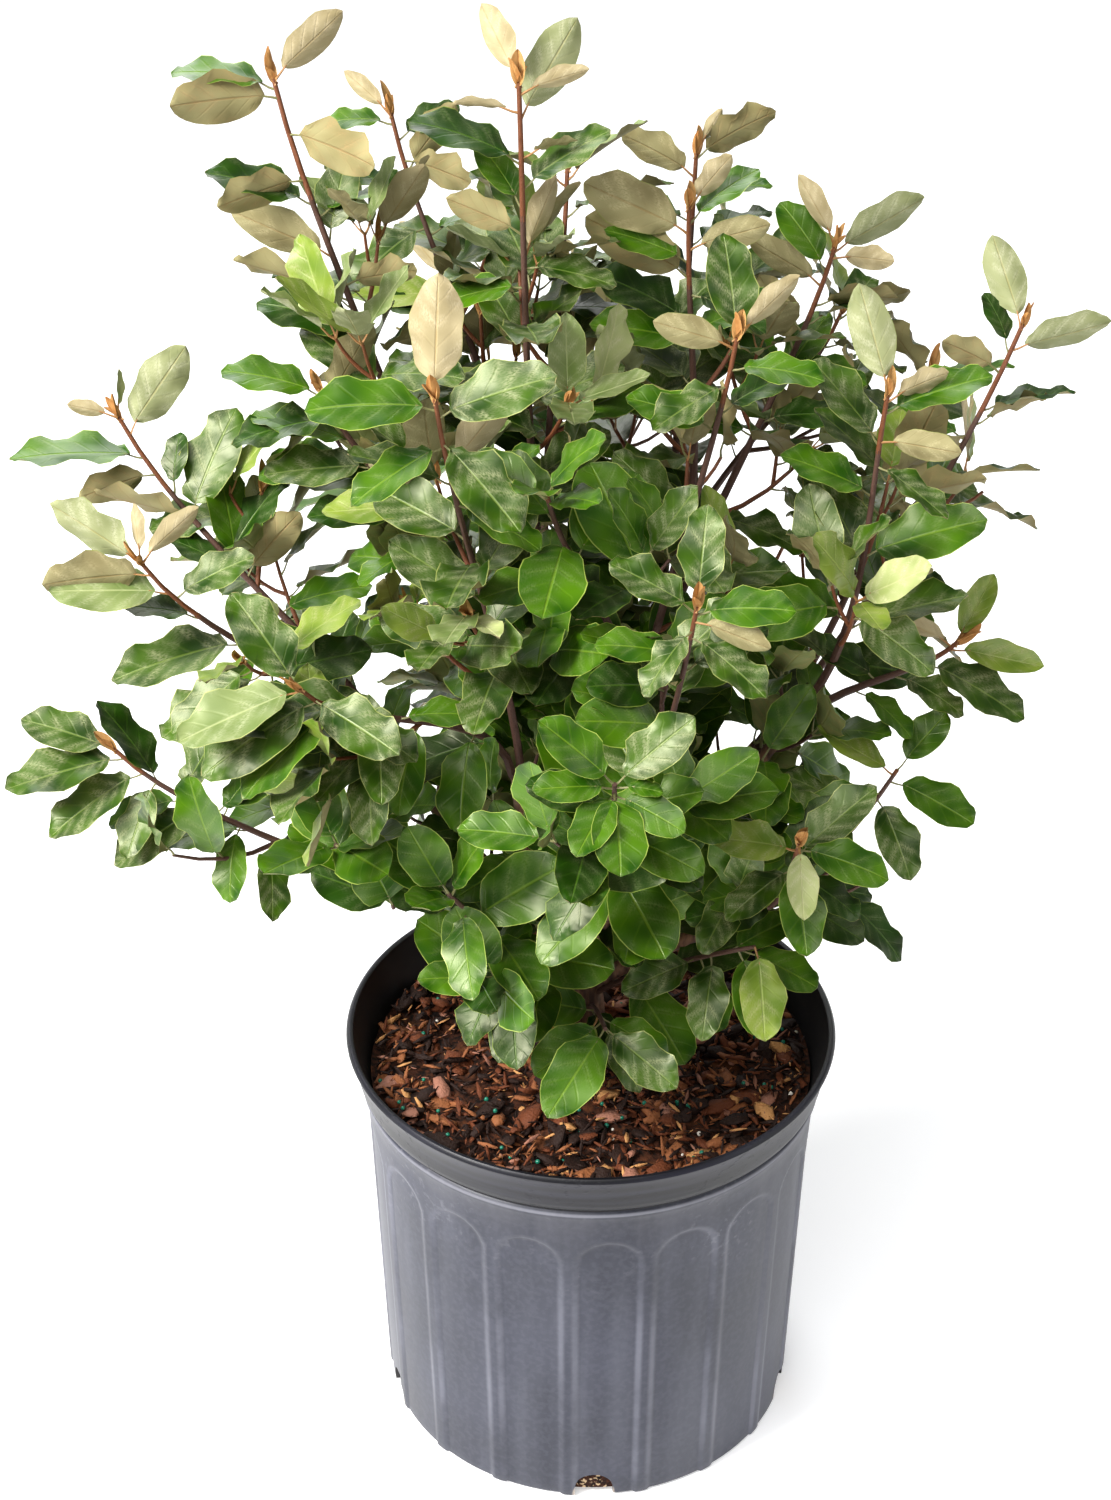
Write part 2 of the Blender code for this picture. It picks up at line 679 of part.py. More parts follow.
def grow_twigs(name, stem, crown, rng):
    twigs = []
    count = max(2, round(stem.length / TWIG_SPACING))
    turn = rng.uniform(0.0, math.tau)
    for i in range(count):
        share = TWIG_FROM + (TWIG_TO - TWIG_FROM) * (i + 0.5) / count
        length = TWIG_LENGTH * (1.2 - 0.6 * share) * rng.uniform(0.85, 1.15)
        turn += GOLDEN_ANGLE
        for attempt in range(LEAF_TRIES):
            start = stem.at(share)
            lean = turned_from(stem.direction(share), math.radians(TWIG_ANGLE),
                               turn + rng.uniform(-0.9, 0.9))
            rise = (lean + Vector((0, 0, 0.45))).normalized()
            controls = [start, start + lean * length * 0.5, start + rise * length]
            twig = Limb(controls, TWIG_FOOT_RADIUS, TWIG_TIP_RADIUS, 3)
            bigger = twig.shape(3, CLEARANCE)
            if not crown.above_pot(bigger[0]) or not crown.own_space(name, twig.points[-1]):
                continue
            if crown.clear_of_others(name, bigger) and crown.clear_of_own(name, bigger, None):
                twigs.append(twig)
                crown.placed[name].append(tree_of(twig.shape(3)))
                break
    return twigs


def facing(point, rng):
    """The way that a leaf at this point turns its upper side: to the light, and a little out
    of the crown."""
    reach = math.hypot(point.x, point.y)
    lean = OUTWARD_FACING * min(1.0, reach / CROWN_CORE_REACH) / max(reach, 0.001)
    up = Vector(LIGHT) + Vector((point.x * lean, point.y * lean, 0.0))
    jitter = Vector((rng.gauss(0, 1), rng.gauss(0, 1), rng.gauss(0, 1))) * FACING_JITTER
    return (up + jitter).normalized()


def leaf_places(stem, twigs):
    """Every leaf's limb, place along it and whether it is one of the tip's."""
    places = []
    for index, limb in enumerate([stem] + twigs):
        tips = TIP_LEAVES if index == 0 else SIDE_TIP_LEAVES
        first = 0.22 if index == 0 else 0.45
        count = round(limb.length * (1.0 - first) / LEAF_SPACING)
        for i in range(count):
            places.append((index, limb, first + (0.93 - first) * i / max(1, count), False))
        for i in range(tips):
            places.append((index, limb, 1.0 - 0.02 * i - 0.01, True))
    return places


def grow_leaves(name, stem, twigs, age, crown, rng):
    leaves = []
    turn = rng.uniform(0.0, math.tau)
    stem_items = list(crown.placed[name])
    for index, limb, share, at_tip in leaf_places(stem, twigs):
        size = rng.uniform(0.88, 1.12) * (0.80 if at_tip else 1.0) * (1.0 - 0.12 * age)
        turn += math.radians(120.0) if at_tip else GOLDEN_ANGLE
        own_limb = stem_items[index - 1] if index else None
        for attempt in range(LEAF_TRIES):
            angle = TIP_LEAF_ANGLE if at_tip else LEAF_ANGLE
            angle = math.radians(angle * rng.uniform(0.75, 1.25))
            ahead = turned_from(limb.direction(share), angle, turn + rng.uniform(-0.6, 0.6))
            root = limb.at(share)
            up = facing(root, rng)
            ahead = (ahead - up * ahead.dot(up) * SPREAD_FLAT).normalized()
            sizes = (LEAF_LENGTH * size, LEAF_WIDTH * size, LEAF_THICKNESS)
            bigger = leaf_shape(root, ahead, up, *sizes, extra=CLEARANCE)
            middle = root + ahead * LEAF_LENGTH * size * 0.5
            if not crown.above_pot(bigger[0]) or not crown.own_space(name, middle):
                continue
            if not crown.clear_of_others(name, bigger):
                continue
            outer = leaf_shape(root, ahead, up, *sizes, extra=CLEARANCE, from_share=ROOT_SHARE)
            if not crown.clear_of_own(name, outer, own_limb):
                continue
            if index == 0 and tree_of(outer).overlap(crown.stem_trees[name]):
                continue
            shape = leaf_shape(root, ahead, up, *sizes)
            leaves.append(shape)
            crown.placed[name].append(tree_of(shape))
            break
    return leaves


def fuse(name, stem, twigs, leaves, seat):
    """The stem joined with its twigs and leaves. It fails over to another solver, then to
    fewer leaves."""
    attempts = [("EXACT", FLAT_ANGLE, 0), ("EXACT", 0.1, 0), ("MANIFOLD", FLAT_ANGLE, 0),
                ("EXACT", 0.1, 4), ("MANIFOLD", 0.1, 3)]
    for solver, flat_angle, step in attempts:
        mass = solid(name, *stem.shape(STEM_SIDES))
        operands = [solid("%s_twig_%d" % (name, i), *twig.shape(3)) for i, twig in enumerate(twigs)]
        for i, leaf in enumerate(leaves):
            if not step or i % step:
                operands.append(solid("%s_leaf_%d" % (name, i), *leaf))
        join_or_cut(mass, operands, "UNION", solver)
        if keep_biggest_body(mass, flat_angle):
            break
        print(name, "was not clean with", solver, flat_angle, step)
        if (solver, flat_angle, step) != attempts[-1]:
            drop([mass])
    if seat:
        seat_on(mass, *seat)
    return mass


def mix_colour(a, b, share):
    return tuple(x + (y - x) * share for x, y in zip(a, b))


def build_foliage(limbs, parent):
    stems = plan_stems(limbs)
    crown = Crown(limbs, stems)
    total = 0
    for number, (name, entry) in enumerate(MASSES.items()):
        rng = random.Random(SEED * 1000 + number)
        age = entry[4]
        stem = stems[name]
        twigs = grow_twigs(name, stem, crown, rng)
        leaves = grow_leaves(name, stem, twigs, age, crown, rng)
        seat = parent_shape("trunk", limbs, GAP) if entry[0] == "trunk" else None
        mass = fuse(name, stem, twigs, leaves, seat)
        set_origin(mass, stem.points[0])
        finish(mass, mix_colour(OLD_LEAF_COLOUR, YOUNG_LEAF_COLOUR, age * 0.6), 0.40, parent)
        total += len(leaves)
        print(name, len(twigs), "twigs", len(leaves), "leaves", len(mass.data.polygons), "faces")
    print("leaves in all", total)


def main():
    for obj in list(bpy.data.objects):
        bpy.data.objects.remove(obj)
    root = bpy.data.objects.new("potted_elaeagnus", None)
    bpy.context.scene.collection.objects.link(root)
    build_pot(root)
    build_mix(root)
    limbs = {"trunk": trunk_limb()}
    plan_boughs(limbs)
    build_limbs(limbs, root)
    build_foliage(limbs, root)


main()
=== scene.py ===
# %% [markdown]
# # Potted elaeagnus
#
# A bushy evergreen shrub, about half a metre across, in a ten inch round nursery pot. This
# lesson dresses its plain solids: a thin moulded pot, a bed of bark chips, woody limbs with
# their bark, and over a thousand leaves that grow by one rule. It starts with the packed
# model, which fixes every size and place. The units are metres, +Z is up, and -Y is the front.

# %% Load the packed model
import json
import math
import random

import bpy
import numpy as np
from mathutils import Matrix, Vector
from mathutils.bvhtree import BVHTree

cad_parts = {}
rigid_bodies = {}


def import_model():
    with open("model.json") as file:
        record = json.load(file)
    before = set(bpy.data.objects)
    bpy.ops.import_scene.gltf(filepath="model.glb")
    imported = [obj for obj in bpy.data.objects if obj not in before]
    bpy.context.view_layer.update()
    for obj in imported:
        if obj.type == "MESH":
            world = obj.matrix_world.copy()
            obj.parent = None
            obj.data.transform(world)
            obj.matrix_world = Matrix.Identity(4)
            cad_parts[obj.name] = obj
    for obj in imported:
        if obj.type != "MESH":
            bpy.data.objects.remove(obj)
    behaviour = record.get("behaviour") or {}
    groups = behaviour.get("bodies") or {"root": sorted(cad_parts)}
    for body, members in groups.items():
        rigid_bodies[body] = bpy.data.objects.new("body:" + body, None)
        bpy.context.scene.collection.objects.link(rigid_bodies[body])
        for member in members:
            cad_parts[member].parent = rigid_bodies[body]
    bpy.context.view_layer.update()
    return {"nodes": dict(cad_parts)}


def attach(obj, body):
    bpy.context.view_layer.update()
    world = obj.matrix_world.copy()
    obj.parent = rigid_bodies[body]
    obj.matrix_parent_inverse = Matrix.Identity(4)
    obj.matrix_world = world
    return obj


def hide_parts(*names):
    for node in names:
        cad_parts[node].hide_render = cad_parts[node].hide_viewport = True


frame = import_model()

print("nodes:", len(frame["nodes"]))

# %% [markdown]
# ## Working by hand in code
#
# Blender's operators act on whatever is selected, as the mouse does. A few small helpers keep
# that tidy: they select a single object, open it with all of it selected, pick or move the
# vertices that a test says yes to, and leave edit mode again.

# %% Selecting
def only(obj):
    if bpy.context.object and bpy.context.object.mode != "OBJECT":
        bpy.ops.object.mode_set(mode="OBJECT")
    bpy.ops.object.select_all(action="DESELECT")
    obj.select_set(True)
    bpy.context.view_layer.objects.active = obj
    return obj


def edit_all():
    """Opens the active object in edit mode with all of it selected."""
    bpy.ops.object.mode_set(mode="EDIT")
    bpy.ops.mesh.select_all(action="SELECT")


def leave_edit():
    bpy.ops.object.mode_set(mode="OBJECT")


def pick(obj, wanted):
    """Selects the vertices whose place passes a test, and stays in edit mode."""
    bpy.ops.object.mode_set(mode="EDIT")
    bpy.ops.mesh.select_mode(type="VERT")
    bpy.ops.mesh.select_all(action="DESELECT")
    leave_edit()
    flags = [bool(wanted(vertex.co)) for vertex in obj.data.vertices]
    obj.data.vertices.foreach_set("select", flags)
    bpy.ops.object.mode_set(mode="EDIT")


def move_where(obj, wanted, step):
    """Moves the vertices whose place passes a test."""
    pick(obj, wanted)
    bpy.ops.transform.translate(value=step)
    leave_edit()


bpy.ops.object.select_all(action="DESELECT")
print("selected objects:", len(bpy.context.selected_objects))

# %% [markdown]
# ## Camera, floor and light
#
# A shrub in a catalogue is lit by big soft lamps in a white room. The camera looks down at
# 31.5 degrees from a little over a metre away. A sun as wide as a ceiling of lamps lights floor
# and plant alike. Discs at the front left and behind give the leaves their sheen, and the
# white world fills the shade. The floor glows a little, so that it stays as white as a sweep
# of paper.

# %% Camera
CAMERA_PLACE = (-0.019, -1.118, 1.097)
CAMERA_PITCH = 31.5
CAMERA_LENS = 62.16

bpy.ops.object.camera_add(location=CAMERA_PLACE, rotation=(math.radians(90.0 - CAMERA_PITCH), 0, 0))
camera = bpy.context.object
camera.name = "camera"
camera.data.lens = CAMERA_LENS
bpy.context.scene.camera = camera
print("camera lens:", camera.data.lens)

# %% Floor and lamps
FLOOR_SIZE = 40.0
SUN_TURN = (30.0, -16.0, 0.0)
SUN_POWER = 2.1
SUN_WIDTH = 50.0
ROOM_GLOW = 0.15
# where each lamp stands and where it aims, its size, its power and its colour
LAMPS = {
    "key_lamp": ((-1.4, -0.8, 1.7), (0, 0, 0.4), 0.9, 78.0, (1.0, 0.99, 0.97)),
    "rim_lamp": ((-0.5, 1.7, 1.7), (0, 0, 0.5), 1.5, 24.0, (0.96, 0.98, 1.0)),
    "fill_lamp": ((1.7, -0.5, 1.0), (0, 0, 0.3), 1.2, 6.0, (0.97, 0.98, 1.0)),
}


def soft_lamp(name, place, aim, size, power, colour):
    bpy.ops.object.light_add(type="AREA", location=place)
    lamp = bpy.context.object
    lamp.name = name
    lamp.data.shape = "DISK"
    lamp.data.size = size
    lamp.data.energy = power
    lamp.data.color = colour
    lamp.rotation_euler = (Vector(aim) - Vector(place)).to_track_quat("-Z", "Y").to_euler()


bpy.ops.mesh.primitive_plane_add(size=FLOOR_SIZE, location=(0, 0, -0.0005))
floor = bpy.context.object
floor.name = "floor"
for name, settings in LAMPS.items():
    soft_lamp(name, *settings)
bpy.ops.object.light_add(type="SUN", rotation=[math.radians(angle) for angle in SUN_TURN])
sun = bpy.context.object
sun.name = "ceiling_sun"
sun.data.energy = SUN_POWER
sun.data.angle = math.radians(SUN_WIDTH)
world = bpy.data.worlds.new("white_room")
world.use_nodes = True
background = world.node_tree.nodes["Background"]
background.inputs["Color"].default_value = (1.0, 1.0, 1.0, 1.0)
background.inputs["Strength"].default_value = ROOM_GLOW
bpy.context.scene.world = world
bpy.context.scene.view_settings.view_transform = "Standard"

# %% [markdown]
# ## Finishes as sums
#
# A finish in Blender is a graph of nodes. Wiring it by hand hides the idea, so one small class
# wraps a socket and lets ordinary arithmetic add the Math nodes: `1 - mask` is then a node too.
# Every other node comes from one method, which sets the node's own choices first and then its
# sockets.

# %% Sockets that take part in sums
class Value:
    def __init__(self, finish, socket):
        self.finish = finish
        self.socket = socket

    def work(self, operation, *values):
        return self.finish.node("ShaderNodeMath", {"operation": operation}, dict(enumerate(values)))

    def __add__(self, other):
        return self.work("ADD", self, other)

    def __radd__(self, other):
        return self.work("ADD", other, self)

    def __sub__(self, other):
        return self.work("SUBTRACT", self, other)

    def __rsub__(self, other):
        return self.work("SUBTRACT", other, self)

    def __mul__(self, other):
        return self.work("MULTIPLY", self, other)

    def __rmul__(self, other):
        return self.work("MULTIPLY", other, self)

    def __truediv__(self, other):
        return self.work("DIVIDE", self, other)

    def __abs__(self):
        return self.work("ABSOLUTE", self)

    def fraction(self):
        return self.work("FRACT", self)

    def step(self, low, high):
        """0 below low, 1 above high and smooth between, or the other way round."""
        return self.finish.node("ShaderNodeMapRange", {"interpolation_type": "SMOOTHSTEP"},
                                {"Value": self, "From Min": low, "From Max": high})


print("a socket can:", [name for name in vars(Value) if not name.startswith("_")])

# %% A material fed by sums
class Finish:
    """A material whose shader is fed by sums."""

    def __init__(self, name, **constants):
        self.material = bpy.data.materials.new(name)
        self.material.use_nodes = True
        self.tree = self.material.node_tree
        self.shader = self.tree.nodes["Principled BSDF"]
        for socket, value in constants.items():
            self.feed(socket.replace("_", " "), value)

    def put(self, socket, value):
        if isinstance(value, Value):
            self.tree.links.new(value.socket, socket)
        elif isinstance(value, tuple) and len(value) == 3 and socket.type == "RGBA":
            socket.default_value = (*value, 1.0)
        else:
            socket.default_value = value

    def feed(self, socket, value):
        self.put(self.shader.inputs[socket], value)

    def node(self, kind, settings=None, sockets=None, output=0):
        made = self.tree.nodes.new(kind)
        for name, setting in (settings or {}).items():
            setattr(made, name, setting)
        for name, value in (sockets or {}).items():
            self.put(made.inputs[name], value)
        return Value(self, made.outputs[output])

    def mix(self, share, first, second):
        return self.node("ShaderNodeMix", {"data_type": "RGBA"}, {0: share, 6: first, 7: second}, 2)

    def noise(self, place, scale, detail=2.0, stretch=None):
        if stretch:
            place = self.node("ShaderNodeVectorMath", {"operation": "MULTIPLY"}, {0: place, 1: stretch})
        return self.node("ShaderNodeTexNoise", {}, {"Vector": place, "Scale": scale, "Detail": detail})

    def object_place(self):
        return self.node("ShaderNodeTexCoord", {}, {}, 3)

    def part(self, place, axis):
        return self.node("ShaderNodeSeparateXYZ", {}, {0: place}, axis)

    def bump(self, height, distance, strength=1.0):
        self.feed("Normal", self.node("ShaderNodeBump", {}, {
            "Height": height, "Distance": distance, "Strength": strength}))


print("a finish can:", [name for name in vars(Finish) if not name.startswith("_")])

# %% Colours and the floor's finish
def rgb(red, green, blue):
    """A colour as a paint chart gives it, 0 to 255, for Blender's linear sockets."""
    def linear(part):
        part = part / 255.0
        return part / 12.92 if part <= 0.04045 else ((part + 0.055) / 1.055) ** 2.4
    return (linear(red), linear(green), linear(blue))


floor_finish = Finish("pale_floor", Base_Color=rgb(244, 244, 245), Roughness=0.85,
                      Emission_Color=rgb(255, 255, 255), Emission_Strength=0.36)
floor.data.materials.append(floor_finish.material)
print("finishes:", floor_finish.material.name)

# %% [markdown]
# ## Handing a piece over
#
# Every finished piece sits at the origin with its place in its mesh, rides on the one body
# of this part, and names the solids that it stands for.

# %% Handing over
ROOT = "root"


def hand_over(piece, nodes=()):
    only(piece)
    bpy.ops.object.transform_apply(location=True, rotation=True, scale=True)
    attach(piece, ROOT)
    if nodes:
        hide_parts(*nodes)
    print(piece.name, len(piece.data.polygons), "faces, stands for", len(nodes), "solids")


def dress(piece, *finishes):
    for finish in finishes:
        piece.data.materials.append(finish.material)


def add_piece(name, data):
    """An object for a mesh or a curve, in the scene and selected."""
    piece = bpy.data.objects.new(name, data)
    bpy.context.scene.collection.objects.link(piece)
    return only(piece)


print("body:", ROOT)

# %% [markdown]
# ## The pot wall
#
# A nursery pot is blown or pressed from a few millimetres of polyethylene. Its outline is one
# line turned about the axis: foot, straight tapering wall, shoulder, a groove, and a collar
# that leans out to a rolled lip. The spin operator makes it from that line. The line has rows
# close together where the arched panels end, so that they can be pressed in smoothly later.

# %% Sizes of the pot
POT_HEIGHT = 0.241
RIM_RADIUS = 0.132
COLLAR_FOOT_RADIUS = 0.1260
COLLAR_FOOT_HEIGHT = 0.218
GROOVE_RADIUS = 0.1232
GROOVE_HEIGHT = 0.2140
SHOULDER_RADIUS = 0.1218
SHOULDER_HEIGHT = 0.199
BASE_RADIUS = 0.1158
WALL = 0.0030
FLOOR = 0.0030
MIX_HEIGHT = 0.215
POT_STEPS = 432


def wall_radius(height):
    return BASE_RADIUS + (SHOULDER_RADIUS - BASE_RADIUS) * height / SHOULDER_HEIGHT


def inner_radius(height):
    return wall_radius(height) - WALL


INNER_SHOULDER = inner_radius(SHOULDER_HEIGHT)
print("rim across:", 2 * RIM_RADIUS, "height:", POT_HEIGHT)

# %% Outline of the pot
def offsets_from(radius, height, *offsets):
    """Points of the outline near a named one, each by how far out and how far up it lies."""
    return [(radius + out, height + up) for out, up in offsets]


def pot_outline():
    outside = offsets_from(BASE_RADIUS, 0.0, (-0.0016, 0.0), (-0.0005, 0.0004), (0.0, 0.0016))
    heights = [0.006 + 0.0129 * i for i in range(13)]
    heights += [0.1660 + 0.0013 * i for i in range(25)]
    outside += [(wall_radius(z), z) for z in heights]
    outside += offsets_from(SHOULDER_RADIUS, SHOULDER_HEIGHT, (0.0003, 0.0020), (0.0010, 0.0055),
                            (0.0014, 0.0085))
    outside += offsets_from(GROOVE_RADIUS, GROOVE_HEIGHT, (0.0016, -0.0036), (0.0013, -0.0020),
                            (0.0, -0.0009), (0.0, 0.0006), (0.0015, 0.0016))
    outside += offsets_from(COLLAR_FOOT_RADIUS, COLLAR_FOOT_HEIGHT, (0.0, -0.0010), (0.0008, 0.0020),
                            (0.0016, 0.0070))
    outside += offsets_from(RIM_RADIUS, POT_HEIGHT, (-0.0018, -0.0065), (-0.0007, -0.0040), (0.0, -0.0022),
                            (-0.0005, -0.0008), (-0.0014, 0.0), (-0.0028, 0.0))
    inside = offsets_from(RIM_RADIUS - 0.0028, POT_HEIGHT, (-0.0009, -0.0006), (-0.0013, -0.0030))
    inside += offsets_from(COLLAR_FOOT_RADIUS - WALL, COLLAR_FOOT_HEIGHT, (0.0008, 0.0060), (-0.0008, 0.0))
    inside += offsets_from(INNER_SHOULDER, SHOULDER_HEIGHT, (0.0006, 0.0080), (0.0, 0.0))
    inside += [(inner_radius(z), z) for z in (0.10, FLOOR)]
    return [(0.0, 0.0), (0.06, 0.0)] + outside + inside + [(0.06, FLOOR), (0.0, FLOOR)]


print("points of the outline:", len(pot_outline()))

# %% Turn the wall
def merge_and_leave(threshold):
    """Joins the vertices that coincide, turns the faces outward and leaves edit mode."""
    bpy.ops.mesh.select_all(action="SELECT")
    bpy.ops.mesh.remove_doubles(threshold=threshold)
    bpy.ops.mesh.normals_make_consistent(inside=False)
    leave_edit()


def turned(name, line, steps):
    """Spins a line of (radius, height) about the upright axis."""
    mesh = bpy.data.meshes.new(name)
    mesh.from_pydata([(r, 0.0, z) for r, z in line], [(i, i + 1) for i in range(len(line) - 1)], [])
    piece = add_piece(name, mesh)
    edit_all()
    bpy.ops.mesh.spin(steps=steps, angle=math.tau, center=(0, 0, 0), axis=(0, 0, 1))
    merge_and_leave(0.00001)
    return piece


pot = turned("pot_wall", pot_outline(), POT_STEPS)
print("pot wall:", len(pot.data.polygons), "faces")

# %% [markdown]
# ## Arched panels
#
# Eighteen arched panels are pressed into the wall, with flat ribs between them. They could be
# cut with Booleans, but a pressed sheet has no sharp cuts. Instead each vertex gets a weight,
# one inside an arch and zero outside it, and a Displace modifier moves the wall in by that.

# %% Press in the panels
PANEL_COUNT = 18
PANEL_TURN = 4.0
PANEL_HALF_ANGLE = 8.0
PANEL_DEPTH = 0.0011
PANEL_SPRING_HEIGHT = 0.1730
PANEL_TOP_HEIGHT = 0.1895
PANEL_SOFTNESS = 0.0016
PANEL_PITCH = 360.0 / PANEL_COUNT
PANEL_HALF = SHOULDER_RADIUS * math.radians(PANEL_HALF_ANGLE)
DRAIN_COUNT = 5
DRAIN_TURN = 1.0
DRAIN_WIDTH = 0.021
DRAIN_HEIGHT = 0.0165


def panel_weight(place):
    """1 well inside a panel, 0 on a rib, and a smooth edge between."""
    if place.z > PANEL_TOP_HEIGHT + 0.004 or math.hypot(place.x, place.y) < inner_radius(place.z) + 0.001:
        return 0.0
    bearing = math.degrees(math.atan2(place.y, place.x)) + 90.0 - PANEL_TURN
    off = (bearing + PANEL_PITCH / 2.0) % PANEL_PITCH - PANEL_PITCH / 2.0
    side = abs(math.radians(off)) * SHOULDER_RADIUS
    rise = max(0.0, place.z - PANEL_SPRING_HEIGHT) / (PANEL_TOP_HEIGHT - PANEL_SPRING_HEIGHT) * PANEL_HALF
    inside = (PANEL_HALF - math.hypot(side, rise)) / PANEL_SOFTNESS + 0.5
    inside = min(1.0, max(0.0, inside))
    return inside * inside * (3.0 - 2.0 * inside)


def weigh(piece, name, rule):
    """Adds a vertex group whose weights follow from each vertex's place."""
    group = piece.vertex_groups.new(name=name)
    for vertex in piece.data.vertices:
        weight = rule(vertex.co)
        if weight > 0.0:
            group.add([vertex.index], weight, "REPLACE")


def displace(piece, name, **settings):
    """Moves the surface of a piece with an applied Displace modifier."""
    modifier = piece.modifiers.new(name, "DISPLACE")
    for key, value in settings.items():
        setattr(modifier, key, value)
    only(piece)
    bpy.ops.object.modifier_apply(modifier=name)


weigh(pot, "panels", panel_weight)
displace(pot, "press", strength=-PANEL_DEPTH, mid_level=0.0, vertex_group="panels")
print("panel pitch on the wall:", round(math.tau * SHOULDER_RADIUS / PANEL_COUNT, 4))

# %% [markdown]
# ## Drain holes
#
# Five arched holes are cut through the foot of the wall. Each cutter is a short cylinder on its
# side whose lower half is pulled down, and one Boolean takes them all away.

# %% Cut the drain holes
cutters = bpy.data.collections.new("drain_cutters")
bpy.context.scene.collection.children.link(cutters)
for i in range(DRAIN_COUNT):
    bearing = math.radians(-90.0 + DRAIN_TURN + 360.0 * i / DRAIN_COUNT)
    bpy.ops.mesh.primitive_cylinder_add(
        vertices=32, radius=DRAIN_WIDTH / 2.0, depth=0.016,
        location=(BASE_RADIUS * math.cos(bearing), BASE_RADIUS * math.sin(bearing),
                  DRAIN_HEIGHT - DRAIN_WIDTH / 2.0),
        rotation=(0.0, math.radians(90.0), bearing))
    cutter = bpy.context.object
    bpy.ops.object.transform_apply(location=True, rotation=True, scale=True)
    move_where(cutter, lambda place: place.z < DRAIN_HEIGHT - DRAIN_WIDTH / 2.0 - 0.001, (0, 0, -0.02))
    for home in list(cutter.users_collection):
        home.objects.unlink(cutter)
    cutters.objects.link(cutter)
only(pot)
holes = pot.modifiers.new("holes", "BOOLEAN")
holes.operation = "DIFFERENCE"
holes.solver = "EXACT"
holes.operand_type = "COLLECTION"
holes.collection = cutters
bpy.ops.object.modifier_apply(modifier="holes")
for cutter in list(cutters.objects):
    bpy.data.objects.remove(cutter)
bpy.data.collections.remove(cutters)
print("pot with holes:", len(pot.data.polygons), "faces")

# %% [markdown]
# ## Finish of the pot
#
# The wall is matt grey-black plastic under a fine dusty grain, so it looks lavender-grey in
# bright light. The collar and the inside are painted charcoal: painted shade, where the collar
# faces down and the inside lies in the pot's hollow. The edges of the arches are painted paler,
# a painted highlight where light catches the ribs, and so is the pale line on the ridge under
# the groove. Soft scuffs lie round the arch tops where crates rub them. The pattern reads Object
# coordinates, because the piece sits at the origin: the angle about the axis gives each panel its
# own sideways distance.

# %% Pot plastic
def pot_finish():
    finish = Finish("pot_plastic", Specular_IOR_Level=0.3)
    place = finish.object_place()
    x, y, z = (finish.part(place, axis) for axis in range(3))
    angle = x.work("ARCTAN2", y, x) * (180.0 / math.pi)
    turn = (angle + (450.0 - PANEL_TURN + PANEL_PITCH / 2.0)) / PANEL_PITCH
    side = abs(turn.fraction() - 0.5) * (math.tau * SHOULDER_RADIUS / PANEL_COUNT)
    rise = z.work("MAXIMUM", z - PANEL_SPRING_HEIGHT, 0.0)
    rise = rise * (PANEL_HALF / (PANEL_TOP_HEIGHT - PANEL_SPRING_HEIGHT))
    reach = side.work("SQRT", side * side + rise * rise)
    # The edges of the arches are painted paler: a painted highlight where light catches the rib edges.
    edge = 1.0 - abs(reach - PANEL_HALF - 0.0004).step(0.0002, 0.0030)
    edge = edge * (1.0 - z.step(PANEL_TOP_HEIGHT + 0.001, PANEL_TOP_HEIGHT + 0.004))
    cloud = finish.noise(place, 14.0, 4.0)
    streak = finish.noise(place, 60.0, 3.0, (1.0, 1.0, 0.10))
    ring = finish.noise(place, 150.0, 2.0, (0.06, 0.06, 1.0))
    grain = finish.noise(place, 320.0, 2.0)
    rub = finish.noise(place, 240.0, 3.0).step(0.55, 0.70) * cloud.step(0.36, 0.60)
    rub = rub * z.step(PANEL_SPRING_HEIGHT - 0.04, PANEL_TOP_HEIGHT)
    wall = finish.mix(cloud.step(0.25, 0.75), rgb(42, 44, 54), rgb(57, 59, 72))
    wall = finish.mix(streak.step(0.40, 0.75) * 0.20, wall, rgb(108, 110, 121))
    wall = finish.mix(grain.step(0.40, 0.66) * 0.08, wall, rgb(112, 114, 126))
    wall = finish.mix(edge * (0.05 + 0.22 * cloud.step(0.40, 0.66)), wall, rgb(150, 151, 163))
    wall = finish.mix(rub * 0.25, wall, rgb(150, 151, 158))
    shade = z.step(SHOULDER_HEIGHT - 0.022, SHOULDER_HEIGHT + 0.004) * streak.step(0.30, 0.60)
    wall = finish.mix(shade * 0.45, wall, rgb(66, 66, 73))
    # The collar is painted darker than the wall, a painted shade where it faces down; its rings are the
    # plastic's own striations.
    collar = finish.mix(ring.step(0.40, 0.70), rgb(12, 12, 17), rgb(33, 33, 43))
    high = z.step(GROOVE_HEIGHT - 0.0012, GROOVE_HEIGHT - 0.0004)
    # A pale line on the ridge under the groove: a painted highlight.
    ridge = 1.0 - abs(z - (GROOVE_HEIGHT - 0.0026)).step(0.0004, 0.0012)
    colour = finish.mix(high, finish.mix(ridge * 0.35, wall, rgb(165, 165, 174)), collar)
    cell = 360.0 / DRAIN_COUNT
    about = ((angle + (450.0 - DRAIN_TURN + cell / 2.0)) / cell).fraction() - 0.5
    about = about * (math.tau * BASE_RADIUS / DRAIN_COUNT)
    hole = about.work("SQRT", about * about + (z - 0.0015) * (z - 0.0015))
    mouth = 1.0 - hole.step(DRAIN_WIDTH / 2.0 + 0.0004, DRAIN_WIDTH / 2.0 + 0.0018)
    colour = finish.mix(mouth * 0.8, colour, rgb(186, 172, 158))
    finish.feed("Base Color", colour)
    finish.feed("Roughness", 0.34 + cloud * 0.14 + rub * 0.1)
    finish.bump(cloud * 0.4 + streak * 0.3 + rub * 0.5, 0.0004, 0.5)
    return finish


